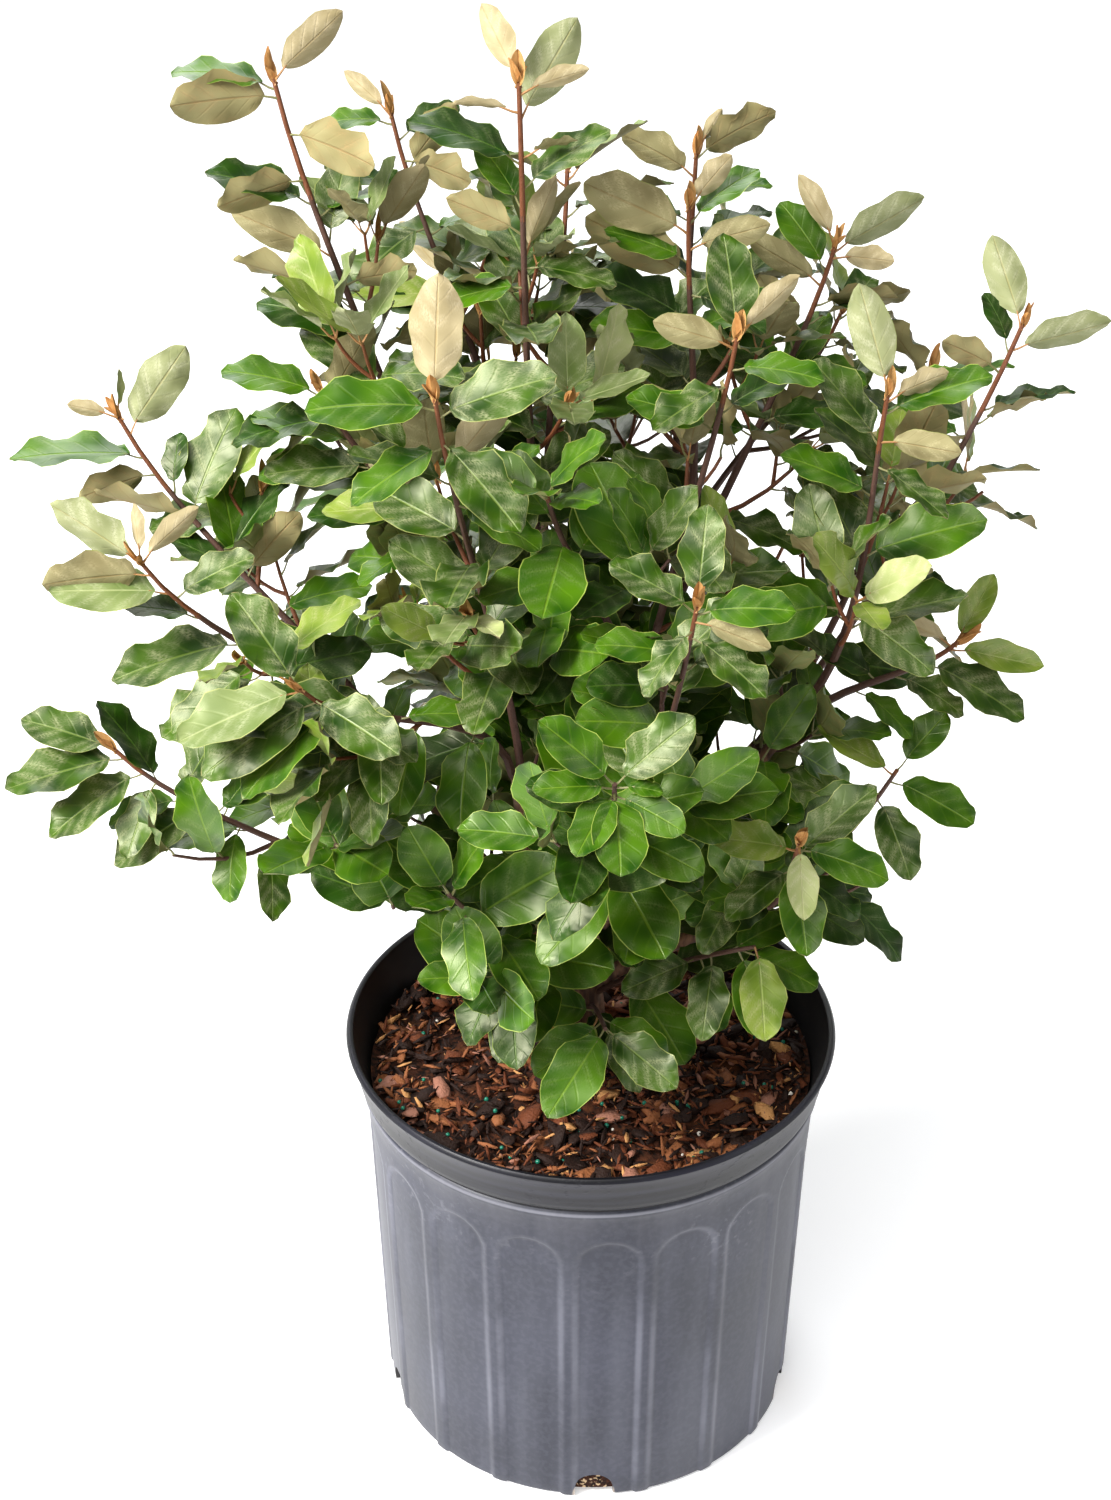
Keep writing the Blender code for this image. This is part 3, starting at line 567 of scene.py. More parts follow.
# The inside is painted near-black, darker than the same plastic outside: painted shade inside the pot.
def pot_inside_finish():
    finish = Finish("pot_inside_painted_shade", Roughness=0.55)
    cloud = finish.noise(finish.object_place(), 30.0, 3.0)
    finish.feed("Base Color", finish.mix(cloud.step(0.35, 0.7), rgb(12, 12, 14), rgb(28, 28, 31)))
    return finish


def smooth(piece, angle):
    """Shades the piece smooth, apart from edges sharper than the angle."""
    only(piece)
    bpy.ops.object.shade_smooth_by_angle(angle=math.radians(angle))


dress(pot, pot_finish(), pot_inside_finish())
# Faces inside the pot take the painted shade of the inside.
for face in pot.data.polygons:
    inward = face.normal.x * face.center.x + face.normal.y * face.center.y < 0.0
    if face.center.z > 0.5 * FLOOR and (inward or math.hypot(*face.center[:2]) < inner_radius(0.0) - 0.001):
        face.material_index = 1
smooth(pot, 40.0)
hand_over(pot, ["pot"])

# %% [markdown]
# ## The potting mix
#
# The bed fills the pot and its top is uneven. A grid of rings is turned from a line, pulled
# up and down by noise, and dressed in dark crumbly brown. On it lie chips and shreds of bark.
# A few shapes are modelled once, and then copied by the hundred into joined meshes, each size,
# turn and place drawn from a seeded random number.

# %% Bed of mix
MIX_STEPS = 120
bed_edge = INNER_SHOULDER + 0.0019
bed_line = [(0.0, 0.0036), (inner_radius(0.004) - 0.0007, 0.0036)]
bed_line += [(INNER_SHOULDER - 0.0007, SHOULDER_HEIGHT), (bed_edge - 0.0010, MIX_HEIGHT - 0.0010)]
bed_line += [(bed_edge * (1.0 - i / 40.0) - 0.0008, MIX_HEIGHT - 0.0006) for i in range(1, 40)]
bed_line += [(0.0, MIX_HEIGHT - 0.0006)]
bed = turned("mix_bed", bed_line, MIX_STEPS)


def bed_weight(place):
    """1 over the middle of the bed's top, 0 at its edge."""
    reach = math.hypot(place.x, place.y)
    if place.z > MIX_HEIGHT - 0.0008 and reach < bed_edge - 0.003:
        return min(1.0, (bed_edge - reach) / 0.012)
    return 0.0


def clouds(name, scale, depth):
    texture = bpy.data.textures.new(name, "CLOUDS")
    texture.noise_scale = scale
    texture.noise_depth = depth
    return texture


weigh(bed, "top", bed_weight)
displace(bed, "heave", texture=clouds("mix_crumbs", 0.009, 3), texture_coords="LOCAL", vertex_group="top",
         direction="Z", mid_level=0.6, strength=0.007)
smooth(bed, 50.0)
print("bed:", len(bed.data.polygons), "faces")

# %% Crumbly brown
def mix_finish():
    finish = Finish("bark_mix", Roughness=0.92, Specular_IOR_Level=0.2)
    place = finish.object_place()
    fine = finish.noise(place, 330.0, 4.0)
    coarse = finish.noise(place, 85.0, 3.0)
    colour = finish.mix(fine.step(0.36, 0.66), rgb(14, 7, 4), rgb(64, 34, 20))
    colour = finish.mix(coarse.step(0.52, 0.70) * 0.6, colour, rgb(108, 62, 34))
    foot = 1.0 - finish.part(place, 2).step(0.020, 0.030)
    crumb = finish.noise(place, 420.0, 2.0).step(0.56, 0.64)
    colour = finish.mix(crumb * foot * 0.9, colour, rgb(196, 168, 132))
    finish.feed("Base Color", colour)
    finish.bump(fine * 0.6 + coarse, 0.002, 0.9)
    return finish


dress(bed, mix_finish())
hand_over(bed, ["potting_mix"])

# %% [markdown]
# ## Copies by the hundred
#
# Chips, beads and leaves are all laid the same way: a model, and for each copy a matrix, a
# colour slot and a cell of its pattern. Copying arrays of vertices is much quicker than
# duplicating objects, and it leaves one joined mesh of each kind.

# %% Joined copies
class Model:
    """The vertices, faces, pattern coordinates and slots of one modelled shape."""

    def __init__(self, obj):
        mesh = obj.data
        self.verts = np.array([v.co for v in mesh.vertices], dtype=np.float64).reshape(-1, 3)
        self.starts = np.array([p.loop_start for p in mesh.polygons])
        self.sizes = np.array([p.loop_total for p in mesh.polygons])
        self.corners = np.array([loop.vertex_index for loop in mesh.loops])
        self.slots = np.array([p.material_index for p in mesh.polygons])
        layer = mesh.uv_layers.active
        self.places = np.array([u.uv for u in layer.data]).reshape(-1, 2) if layer else None
        bpy.data.objects.remove(obj)
        bpy.data.meshes.remove(mesh)


def joined_copies(name, copies, cells=1, slots=1):
    """copies: (model, 4x4 matrix, cell, slot). The cell shifts the pattern, the slot the finish."""
    verts, corners, starts, sizes, slot_list, places = [], [], [], [], [], []
    vertex_count = corner_count = 0
    for model, matrix, cell, slot in copies:
        turn = np.array(matrix.to_3x3())
        verts.append(model.verts @ turn.T + np.array(matrix.translation))
        corners.append(model.corners + vertex_count)
        starts.append(model.starts + corner_count)
        sizes.append(model.sizes)
        slot_list.append(model.slots + slot)
        if model.places is not None:
            shifted = model.places.copy()
            shifted[:, 0] = (shifted[:, 0] + cell) / cells
            places.append(shifted)
        vertex_count += len(model.verts)
        corner_count += len(model.corners)
    mesh = bpy.data.meshes.new(name)
    mesh.vertices.add(vertex_count)
    mesh.vertices.foreach_set("co", np.concatenate(verts).ravel())
    mesh.loops.add(corner_count)
    mesh.loops.foreach_set("vertex_index", np.concatenate(corners))
    mesh.polygons.add(sum(len(part) for part in starts))
    mesh.polygons.foreach_set("loop_start", np.concatenate(starts))
    mesh.polygons.foreach_set("loop_total", np.concatenate(sizes))
    mesh.polygons.foreach_set("material_index", np.concatenate(slot_list))
    if places:
        layer = mesh.uv_layers.new(name="OFBake")
        layer.data.foreach_set("uv", np.concatenate(places).ravel())
    mesh.update(calc_edges=True)
    mesh.validate()
    return add_piece(name, mesh)


def placed(root, across, ahead, up, sizes):
    """A matrix that puts a model's x, y and z along three directions at a place."""
    matrix = Matrix.Identity(4)
    for column, (direction, size) in enumerate(zip((across, ahead, up), sizes)):
        for row in range(3):
            matrix[row][column] = direction[row] * size
    matrix.translation = root
    return matrix


print("copies are joined by kind")

# %% Models of bark chips, shreds and beads
def model_chip(seed, width, height, taper):
    """One flake of bark, a unit long: a divided block, roughened and pinched at its ends."""
    bpy.ops.mesh.primitive_cube_add(size=1.0)
    chip = bpy.context.object
    edit_all()
    bpy.ops.transform.resize(value=(1.0, width, height))
    bpy.ops.mesh.subdivide(number_cuts=1)
    leave_edit()
    for end in (-1, 1):
        pick(chip, lambda place, end=end: place.x * end > 0.4)
        bpy.ops.transform.resize(value=(1, taper, taper), center_override=(end * 0.5, 0, 0))
        leave_edit()
    edit_all()
    bpy.ops.transform.vertex_random(offset=0.11 * width + 0.02, uniform=0.2, seed=seed)
    leave_edit()
    chip.data.uv_layers.remove(chip.data.uv_layers[0])
    return Model(chip)


def model_grain(seed, rough):
    bpy.ops.mesh.primitive_ico_sphere_add(subdivisions=1 if rough else 2, radius=0.5, calc_uvs=False)
    grain = bpy.context.object
    if rough:
        edit_all()
        bpy.ops.transform.vertex_random(offset=0.16, uniform=0.3, seed=seed)
        leave_edit()
    return Model(grain)


chips = [model_chip(seed, 0.55, 0.16, 0.55) for seed in (1, 2, 3, 4, 5)]
shreds = [model_chip(seed, 0.20, 0.11, 0.40) for seed in (6, 7, 8, 9)]
perlite = [model_grain(seed, True) for seed in (10, 11, 12)]
beads = [model_grain(13, False)]
print("chip faces:", len(chips[0].sizes), "bead faces:", len(beads[0].sizes))

# %% Scatter them over the bed
def scatter(name, models, count, small, large, lift, tilt, seed, finishes, weights=(1,)):
    """Lays copies over the bed, most of them flat, the large ones rarer than the small."""
    rng = random.Random(seed)
    copies = []
    for i in range(count):
        reach = (bed_edge - 0.004) * math.sqrt(rng.random())
        bearing = rng.uniform(0.0, math.tau)
        size = small + (large - small) * rng.random() ** 2.2
        reach = min(reach, bed_edge - 0.0015 - size * 0.5)
        lean = Matrix.Rotation(rng.gauss(0.0, tilt), 3, "X") @ Matrix.Rotation(rng.gauss(0.0, tilt), 3, "Y")
        turn = Matrix.Rotation(rng.uniform(0.0, math.tau), 3, "Z") @ lean
        bank = 0.0035 * max(0.0, reach / bed_edge - 0.75) * 4.0
        height = MIX_HEIGHT + rng.uniform(-0.0015, lift) + bank
        root = Vector((reach * math.cos(bearing), reach * math.sin(bearing), height))
        matrix = placed(root, turn.col[0], turn.col[1], turn.col[2], (size, size, size))
        slot = rng.choices(range(len(finishes)), weights)[0]
        copies.append((rng.choice(models), matrix, 0, slot))
    piece = joined_copies(name, copies)
    dress(piece, *finishes)
    hand_over(piece)


def bark_chip_finish(name, colour):
    finish = Finish(name, Base_Color=colour, Roughness=0.70, Specular_IOR_Level=0.3)
    finish.bump(finish.noise(finish.object_place(), 700.0, 3.0), 0.0012, 0.8)
    return finish


BARK_COLOURS = {
    "bark_dark": (36, 17, 8),
    "bark_red_brown": (102, 52, 26),
    "bark_brown": (142, 86, 50),
    "bark_pink_brown": (156, 106, 86),
    "bark_tan": (204, 148, 92),
}
bark_finishes = [bark_chip_finish(name, rgb(*colour)) for name, colour in BARK_COLOURS.items()]
white_grain = bark_chip_finish("perlite_white", rgb(226, 220, 208))
teal_bead = Finish("feed_bead_teal", Base_Color=rgb(22, 112, 88), Roughness=0.25)
# models, count, smallest, largest, lift, tilt, seed, finishes and how common each is
scatter("bark_chips", chips, 560, 0.006, 0.020, 0.0030, 0.30, 21, bark_finishes, (6, 4, 3, 1.5, 0.5))
scatter("bark_shreds", shreds, 2600, 0.003, 0.013, 0.0045, 0.45, 22, bark_finishes, (6, 4, 3, 0.8, 1.0))
scatter("perlite_grains", perlite, 36, 0.0012, 0.0028, 0.0040, 0.5, 23, [white_grain])
scatter("feed_beads", beads, 90, 0.0022, 0.0028, 0.0050, 0.1, 24, [teal_bead])

# %% [markdown]
# ## The plan of the plant
#
# The limbs follow the same tables as the solids: each bough leaves its parent at a share of its
# height and bends up to its tip, and each mass of foliage has one stem from a bough's tip. A
# bearing is in degrees about the axis, 0 to the right and -90 at the front. A reach is the
# distance from the axis.

# %% Tables of boughs and masses
TRUNK_FOOT_RADIUS = 0.0090
TRUNK_TOP_RADIUS = 0.0072
TRUNK_LEAN = (-0.008, 0.006)
TRUNK_TOP_HEIGHT = 0.312
LEAVE_ANGLE = 50.0
LEAVE_REACH = 0.42

# parent, share of its height, bearing, reach and height of the tip, radius at the foot and at the tip
BOUGHS = {
    "bough_leader": ("trunk", 1.00, 150, 0.025, 0.470, 0.0062, 0.0038),
    "bough_left": ("trunk", 0.78, 176, 0.095, 0.400, 0.0052, 0.0036),
    "bough_right": ("trunk", 0.82, 6, 0.085, 0.410, 0.0052, 0.0036),
    "bough_front": ("trunk", 0.70, -82, 0.065, 0.365, 0.0050, 0.0036),
    "bough_back": ("trunk", 0.66, 92, 0.075, 0.400, 0.0050, 0.0036),
    "bough_front_left": ("trunk", 0.54, -137, 0.052, 0.420, 0.0050, 0.0036),
    "bough_right_low": ("trunk", 0.48, -24, 0.080, 0.330, 0.0046, 0.0036),
    "bough_left_low": ("trunk", 0.38, -168, 0.085, 0.325, 0.0046, 0.0036),
    "bough_back_low": ("trunk", 0.36, 84, 0.080, 0.320, 0.0046, 0.0036),
    "bough_upper_left": ("bough_leader", 0.34, 168, 0.075, 0.500, 0.0044, 0.0034),
    "bough_upper_right": ("bough_leader", 0.48, 34, 0.050, 0.485, 0.0044, 0.0034),
    "bough_upper_back": ("bough_leader", 0.58, 118, 0.070, 0.505, 0.0044, 0.0034),
    "bough_upper_front": ("bough_leader", 0.26, -62, 0.040, 0.455, 0.0044, 0.0034),
    "bough_right_long": ("bough_right", 0.45, -19, 0.108, 0.455, 0.0042, 0.0032),
    "bough_back_right": ("bough_back", 0.45, 62, 0.082, 0.465, 0.0042, 0.0032),
}

# limb that bears it, bearing, reach and height of the tip, youth from 0 to 1, share of the trunk
MASSES = {
    "foliage_top_centre": ("bough_leader", -166, 0.036, 0.757, 0.8),
    "foliage_back_high": ("bough_leader", 98, 0.095, 0.684, 0.5),
    "foliage_top_left": ("bough_upper_left", 162, 0.155, 0.741, 0.8),
    "foliage_left_upper": ("bough_upper_left", 176, 0.130, 0.605, 0.3),
    "foliage_top_right": ("bough_upper_right", 22, 0.045, 0.692, 0.7),
    "foliage_high_right": ("bough_upper_right", 27, 0.128, 0.657, 0.7),
    "foliage_top_left_back": ("bough_upper_back", 128, 0.162, 0.700, 0.7),
    "foliage_back_left": ("bough_upper_back", 112, 0.200, 0.590, 0.4),
    "foliage_centre_right": ("bough_upper_front", -32, 0.073, 0.651, 0.6),
    "foliage_centre": ("bough_upper_front", -104, 0.095, 0.600, 0.1),
    "foliage_left_high": ("bough_left", 166, 0.242, 0.569, 0.7),
    "foliage_left_mid": ("bough_left", -170, 0.216, 0.537, 0.8),
    "foliage_far_right": ("bough_right", 10, 0.206, 0.627, 0.7),
    "foliage_right_back": ("bough_right", 38, 0.225, 0.560, 0.4),
    "foliage_right_long": ("bough_right_long", -18, 0.137, 0.625, 0.6),
    "foliage_right_low": ("bough_right_long", -9, 0.177, 0.490, 0.7),
    "foliage_front_mid": ("bough_front", -74, 0.150, 0.572, 0.3),
    "foliage_front_centre": ("bough_front", -88, 0.180, 0.505, 0.0),
    "foliage_centre_left": ("bough_front_left", -128, 0.115, 0.644, 0.7),
    "foliage_left_low": ("bough_front_left", -141, 0.173, 0.511, 0.6),
    "foliage_front_right": ("bough_right_low", -54, 0.158, 0.440, 0.3),
    "foliage_right_skirt": ("bough_right_low", -18, 0.155, 0.430, 0.1),
    "foliage_left_tip": ("bough_left_low", -176, 0.240, 0.423, 0.4),
    "foliage_left_skirt": ("bough_left_low", -146, 0.150, 0.410, 0.0),
    "foliage_top_right_back": ("bough_back_right", 69, 0.142, 0.678, 0.6),
    "foliage_back_right": ("bough_back_right", 52, 0.215, 0.580, 0.4),
    "foliage_back": ("bough_back", 88, 0.220, 0.560, 0.4),
    "foliage_back_mid": ("bough_back", 128, 0.190, 0.505, 0.2),
    "foliage_back_low": ("bough_back_low", 58, 0.205, 0.440, 0.2),
    "foliage_back_skirt": ("bough_back_low", 116, 0.190, 0.410, 0.1),
    "foliage_foot_front": ("trunk", -86, 0.085, 0.300, 0.0, 0.34),
    "foliage_foot_left": ("trunk", -146, 0.068, 0.325, 0.1, 0.30),
    "foliage_low_left": ("trunk", -124, 0.125, 0.395, 0.0, 0.46),
    "foliage_low_right": ("trunk", -40, 0.105, 0.338, 0.0, 0.42),
}
print(len(BOUGHS), "boughs and", len(MASSES), "masses")

# %% [markdown]
# ## Limbs
#
# A limb is a curve with a radius that tapers from its foot to its tip. The rule for leaving a
# parent is the solids' own: out at fifty degrees, and then up to the tip.

# %% A tapering limb
def polar(bearing, reach, height):
    angle = math.radians(bearing)
    return Vector((reach * math.cos(angle), reach * math.sin(angle), height))


def curve_point(controls, share):
    points = list(controls)
    while len(points) > 1:
        points = [a.lerp(b, share) for a, b in zip(points, points[1:])]
    return points[0]


class Limb:
    def __init__(self, controls, foot_radius, tip_radius, rings):
        self.points = [curve_point(controls, i / (rings - 1)) for i in range(rings)]
        self.tip_direction = (controls[-1] - controls[-2]).normalized()
        self.foot_radius = foot_radius
        self.tip_radius = tip_radius
        steps = [(b - a).length for a, b in zip(self.points, self.points[1:])]
        self.length = sum(steps)
        self.marks = [sum(steps[:i]) / self.length for i in range(rings)]

    def segment(self, share):
        last = len(self.marks) - 2
        for i in range(last, -1, -1):
            if share >= self.marks[i]:
                break
        return i, min(1.0, (share - self.marks[i]) / (self.marks[i + 1] - self.marks[i]))

    def at(self, share):
        i, part = self.segment(share)
        return self.points[i].lerp(self.points[i + 1], part)

    def direction(self, share):
        i = self.segment(share)[0]
        return (self.points[i + 1] - self.points[i]).normalized()

    def radius(self, share):
        return self.foot_radius + (self.tip_radius - self.foot_radius) * share


def leaving_curve(parent, share, tip):
    start = parent.at(share)
    along = parent.direction(share)
    outward = tip - start
    outward = (outward - along * outward.dot(along)).normalized()
    angle = math.radians(LEAVE_ANGLE)
    lead = (along * math.cos(angle) + outward * math.sin(angle)) * (tip - start).length * LEAVE_REACH
    return [start, start + lead, tip]


foot = Vector((0.0, 0.0, MIX_HEIGHT))
fork = Vector((TRUNK_LEAN[0], TRUNK_LEAN[1], TRUNK_TOP_HEIGHT))
knee = Vector((0.0, 0.0, (foot.z + fork.z) / 2.0))
limbs = {"trunk": Limb([foot, knee, fork], TRUNK_FOOT_RADIUS, TRUNK_TOP_RADIUS, 16)}
for name, (holder, share, bearing, reach, height, thick, thin) in BOUGHS.items():
    tip = polar(bearing, reach, height)
    controls = leaving_curve(limbs[holder], min(share, 0.999), tip)
    if share >= 1.0:
        start = limbs[holder].points[-1]
        controls = [start, start + Vector((0, 0, (tip - start).length * 0.4)), tip]
    limbs[name] = Limb(controls, thick, thin, 16)
print("longest bough:", round(max(limb.length for limb in limbs.values()), 3))

# %% [markdown]
# ## Bark on the trunk and boughs
#
# Tubes along the curves give the limbs, with a bevel on a curve object: its depth is one, so
# each point's radius is the limb's own. The mesh is then roughened by a Displace modifier that
# reads a cloud texture, which gives the low ridges and knots of young bark. The trunk's foot
# spreads into four low root swellings before it meets the mix.

# %% Tubes along curves
def tubes(name, lines, sides):
    """One mesh of many tubes. A line is a list of (place, radius)."""
    data = bpy.data.curves.new(name, "CURVE")
    data.dimensions = "3D"
    data.bevel_depth = 1.0
    data.bevel_resolution = max(0, (sides - 4) // 2)
    data.use_fill_caps = True
    for line in lines:
        spline = data.splines.new("POLY")
        spline.points.add(len(line) - 1)
        for point, (place, radius) in zip(spline.points, line):
            point.co = (place.x, place.y, place.z, 1.0)
            point.radius = radius
    add_piece(name, data)
    bpy.ops.object.convert(target="MESH")
    edit_all()
    merge_and_leave(0.000001)
    return bpy.context.object


def limb_line(limb, count, from_share=0.0, to_share=1.0):
    shares = [from_share + (to_share - from_share) * i / (count - 1) for i in range(count)]
    return [(limb.at(share), limb.radius(share)) for share in shares]


print("radius at the fork:", round(limb_line(limbs["trunk"], 2)[-1][1], 4))

# %% Model the trunk ring by ring
TRUNK_SIDES = 20
TRUNK_RINGS = 24
ROOT_LOBES = 4
ROOT_TURN = 20.0
trunk_limb = limbs["trunk"]
before = Vector((0, 0, MIX_HEIGHT - 0.004))
thick = TRUNK_FOOT_RADIUS + 0.001
bpy.ops.mesh.primitive_circle_add(vertices=TRUNK_SIDES, radius=thick, fill_type="NGON", location=before)
trunk = bpy.context.object
trunk.name = "trunk_bark"
bpy.ops.object.transform_apply(location=True, rotation=True, scale=True)
edit_all()
for i in range(1, TRUNK_RINGS + 1):
    centre = trunk_limb.at(i / TRUNK_RINGS)
    radius = trunk_limb.radius(i / TRUNK_RINGS)
    bpy.ops.mesh.extrude_region_move(TRANSFORM_OT_translate={"value": tuple(centre - before)})
    bpy.ops.transform.resize(value=(radius / thick, radius / thick, 1.0), center_override=tuple(centre))
    before = centre
    thick = radius
bpy.ops.mesh.select_all(action="SELECT")
bpy.ops.mesh.normals_make_consistent(inside=False)
leave_edit()
for lobe in range(ROOT_LOBES):
    angle = math.radians(ROOT_TURN + 360.0 / ROOT_LOBES * lobe)
    for low, high, push in ((-0.005, 0.006, 0.0050), (0.006, 0.013, 0.0026)):
        move_where(trunk, lambda place: low <= place.z - MIX_HEIGHT < high
                   and math.cos(math.atan2(place.y, place.x) - angle) > 0.80,
                   (push * math.cos(angle), push * math.sin(angle), 0))
print("trunk:", len(trunk.data.polygons), "faces")

# %% Boughs, roughening and finish
BARK_STEP = 0.005
bough_lines = [limb_line(limbs[name], max(8, round(limbs[name].length / BARK_STEP))) for name in BOUGHS]
bough_tubes = tubes("bough_bark", bough_lines, 10)
only(trunk)
bough_tubes.select_set(True)
bpy.ops.object.join()
displace(trunk, "rough", texture=clouds("bark_ridges", 0.006, 2), texture_coords="LOCAL", mid_level=0.5,
         strength=0.0016)
smooth(trunk, 60.0)


def bark_finish():
    finish = Finish("brown_bark", Roughness=0.82)
    place = finish.object_place()
    streak = finish.noise(place, 260.0, 3.0, (1.0, 1.0, 0.25))
    patch = finish.noise(place, 70.0, 2.0)
    colour = finish.mix(streak.step(0.35, 0.68), rgb(66, 44, 34), rgb(128, 92, 68))
    colour = finish.mix(patch.step(0.52, 0.66) * 0.5, colour, rgb(150, 126, 102))
    finish.feed("Base Color", colour)
    finish.bump(streak + patch * 0.5, 0.0012, 0.8)
    return finish


dress(trunk, bark_finish())
hand_over(trunk, ["trunk"] + list(BOUGHS))

# %% [markdown]
# ## Stems of the masses
#
# Each mass has one stem. It leaves its bough's tip in the bough's own direction and arrives
# upright, as a shoot does that grows to the light. Two stems on one tip start side by side.

# %% Plan the stems
STEM_FOOT_RADIUS = 0.0020
STEM_TIP_RADIUS = 0.0011
STEM_RISE = Vector((0, 0, 0.55))
STEM_REACH = 0.30
STEM_FLARE = 0.0003
GAP = 0.0003


def plan_stems():
    stems = {}
    for name, (holder, bearing, reach, height, age, *share) in MASSES.items():
        tip = polar(bearing, reach, height)
        limb = limbs[holder]
        if share:
            controls = leaving_curve(limb, share[0], tip)
            stems[name] = Limb(controls, STEM_FOOT_RADIUS, STEM_TIP_RADIUS, 12)
            continue
        ahead = limb.tip_direction
        start = limb.points[-1] - ahead * 0.001
        twins = [key for key, entry in MASSES.items() if entry[0] == holder and key != name]
        if twins:
            apart = tip - polar(*MASSES[twins[0]][1:4])
            apart = (apart - ahead * apart.dot(ahead)).normalized()
            start = start + apart * (STEM_FOOT_RADIUS + GAP)
        span = (tip - start).length
        arrive = ((tip - start).normalized() + STEM_RISE).normalized()
        controls = [start, start + ahead * span * STEM_REACH, tip - arrive * span * STEM_REACH, tip]
        stems[name] = Limb(controls, STEM_FOOT_RADIUS + STEM_FLARE, STEM_TIP_RADIUS, 12)
    return stems


stems = plan_stems()
print("stems:", len(stems), "longest:", round(max(stem.length for stem in stems.values()), 3))

# %% [markdown]
# ## Leaves as models
#
# An elaeagnus leaf is a pointed oval, folded a little along its midrib, with a wavy edge and a
# tip that turns down. A handful of models, mixed and turned, are enough for the eye. Each starts
# as a small grid: its margins are lifted in waves, each row is drawn in to the leaf's outline,
# and the far rows are bent down. Extruding the sheet and collapsing its edge closes it, so it
# has a real thickness with a sharp margin, in under a hundred faces.

# %% Model a leaf
LEAF_ROWS = 12
LEAF_COLUMNS = 4
LEAF_THICKNESS = 0.014
CELL_INSET = 0.02
CELL_SPREAD = 1.0 - 2.0 * CELL_INSET
LEAF_LOOKS = 4


def row_place(share):
    """Rows lie closer together at both ends, where the outline turns fastest."""
    return share - 0.080 * math.sin(math.tau * share)


def model_leaf(name, width, fullness, skew, fold, droop, wave, turn):
    bpy.ops.mesh.primitive_grid_add(x_subdivisions=LEAF_COLUMNS, y_subdivisions=LEAF_ROWS, size=1.0)
    leaf = bpy.context.object
    leaf.name = name
    half = width / 2.0
    edit_all()
    bpy.ops.transform.resize(value=(width, 1.0, 1.0))
    bpy.ops.transform.translate(value=(0, 0.5, 0))
    leave_edit()
    for column, lift in ((0.25, fold * half * 0.60), (0.5, fold * half)):
        move_where(leaf, lambda place: abs(abs(place.x) - column * width) < 0.001, (0, 0, lift))
    for row in range(1, LEAF_ROWS):
        for side in (-1, 1):
            swing = math.sin(row * 1.5 + turn + side * 0.9) * wave
            move_where(leaf, lambda place: abs(place.y - row / LEAF_ROWS) < 0.001
                       and place.x * side > 0.45 * width, (side * swing * 0.36, 0, swing))
    for row in reversed(range(LEAF_ROWS + 1)):
        share = row_place(row / LEAF_ROWS)
        narrow = max(0.03, (4.0 * share ** skew * (1.0 - share ** skew)) ** fullness)
        pick(leaf, lambda place: abs(place.y - row / LEAF_ROWS) < 0.001)
        bpy.ops.transform.resize(value=(narrow, 1.0, 0.35 + 0.65 * narrow),
                                 center_override=(0, row / LEAF_ROWS, 0))
        bend = -droop * share ** 2.2
        bpy.ops.transform.translate(value=(0, share - row / LEAF_ROWS - abs(bend) * 0.25, bend))
        leave_edit()
    return leaf


print("grid of a leaf:", LEAF_COLUMNS, "by", LEAF_ROWS)

# %% Close the leaves and keep them as models
def close_leaf(leaf):
    """Gives the sheet its underside, and joins both sides along the margin."""
    bpy.ops.object.mode_set(mode="EDIT")
    bpy.ops.mesh.select_mode(type="FACE")
    bpy.ops.mesh.select_all(action="SELECT")
    bpy.ops.mesh.extrude_region_move(TRANSFORM_OT_translate={"value": (0, 0, -LEAF_THICKNESS)})
    bpy.ops.mesh.select_all(action="SELECT")
    bpy.ops.mesh.normals_make_consistent(inside=False)
    bpy.ops.mesh.select_all(action="DESELECT")
    bpy.ops.mesh.select_mode(type="EDGE")
    leave_edit()
    verts = leaf.data.vertices
    for edge in leaf.data.edges:
        apart = verts[edge.vertices[0]].co - verts[edge.vertices[1]].co
        edge.select = math.hypot(apart.x, apart.y) < 0.00001 and abs(abs(apart.z) - LEAF_THICKNESS) < 0.00001
    bpy.ops.object.mode_set(mode="EDIT")
    bpy.ops.mesh.merge(type="COLLAPSE")
    leave_edit()
    layer = leaf.data.uv_layers.active
    for face in leaf.data.polygons:
        upper = 1 if face.normal.z > 0 else 0
        face.material_index = 1 - upper
        for corner in face.loop_indices:
            u, v = layer.data[corner].uv
            layer.data[corner].uv = (CELL_INSET + CELL_SPREAD * u,
                                     (upper + CELL_INSET + CELL_SPREAD * v) / 2.0)
    return Model(leaf)


# width, fullness, skew, fold, droop, wave and where the wave starts
LEAF_MODELS = {
    "oval_a": (0.55, 0.60, 0.95, 0.20, 0.10, 0.050, 0.3),
    "oval_b": (0.57, 0.56, 1.06, 0.14, 0.16, 0.044, 1.7),
    "oval_c": (0.51, 0.62, 0.98, 0.26, 0.05, 0.056, 3.1),
    "wavy_a": (0.52, 0.58, 0.92, 0.16, 0.16, 0.078, 0.8),
    "wavy_b": (0.55, 0.60, 1.04, 0.22, 0.08, 0.084, 2.4),
    "round_a": (0.67, 0.50, 1.00, 0.12, 0.12, 0.032, 4.0),
    "round_b": (0.63, 0.52, 1.10, 0.18, 0.06, 0.036, 5.2),
    "young_a": (0.46, 0.66, 0.98, 0.30, -0.04, 0.026, 1.1),
    "young_b": (0.38, 0.72, 1.04, 0.40, 0.02, 0.024, 3.9),
    "bud_a": (0.34, 0.74, 0.90, 0.50, -0.02, 0.000, 0.0),
    "bud_b": (0.40, 0.70, 1.00, 0.60, -0.08, 0.000, 0.0),
}
leaf_models = {}
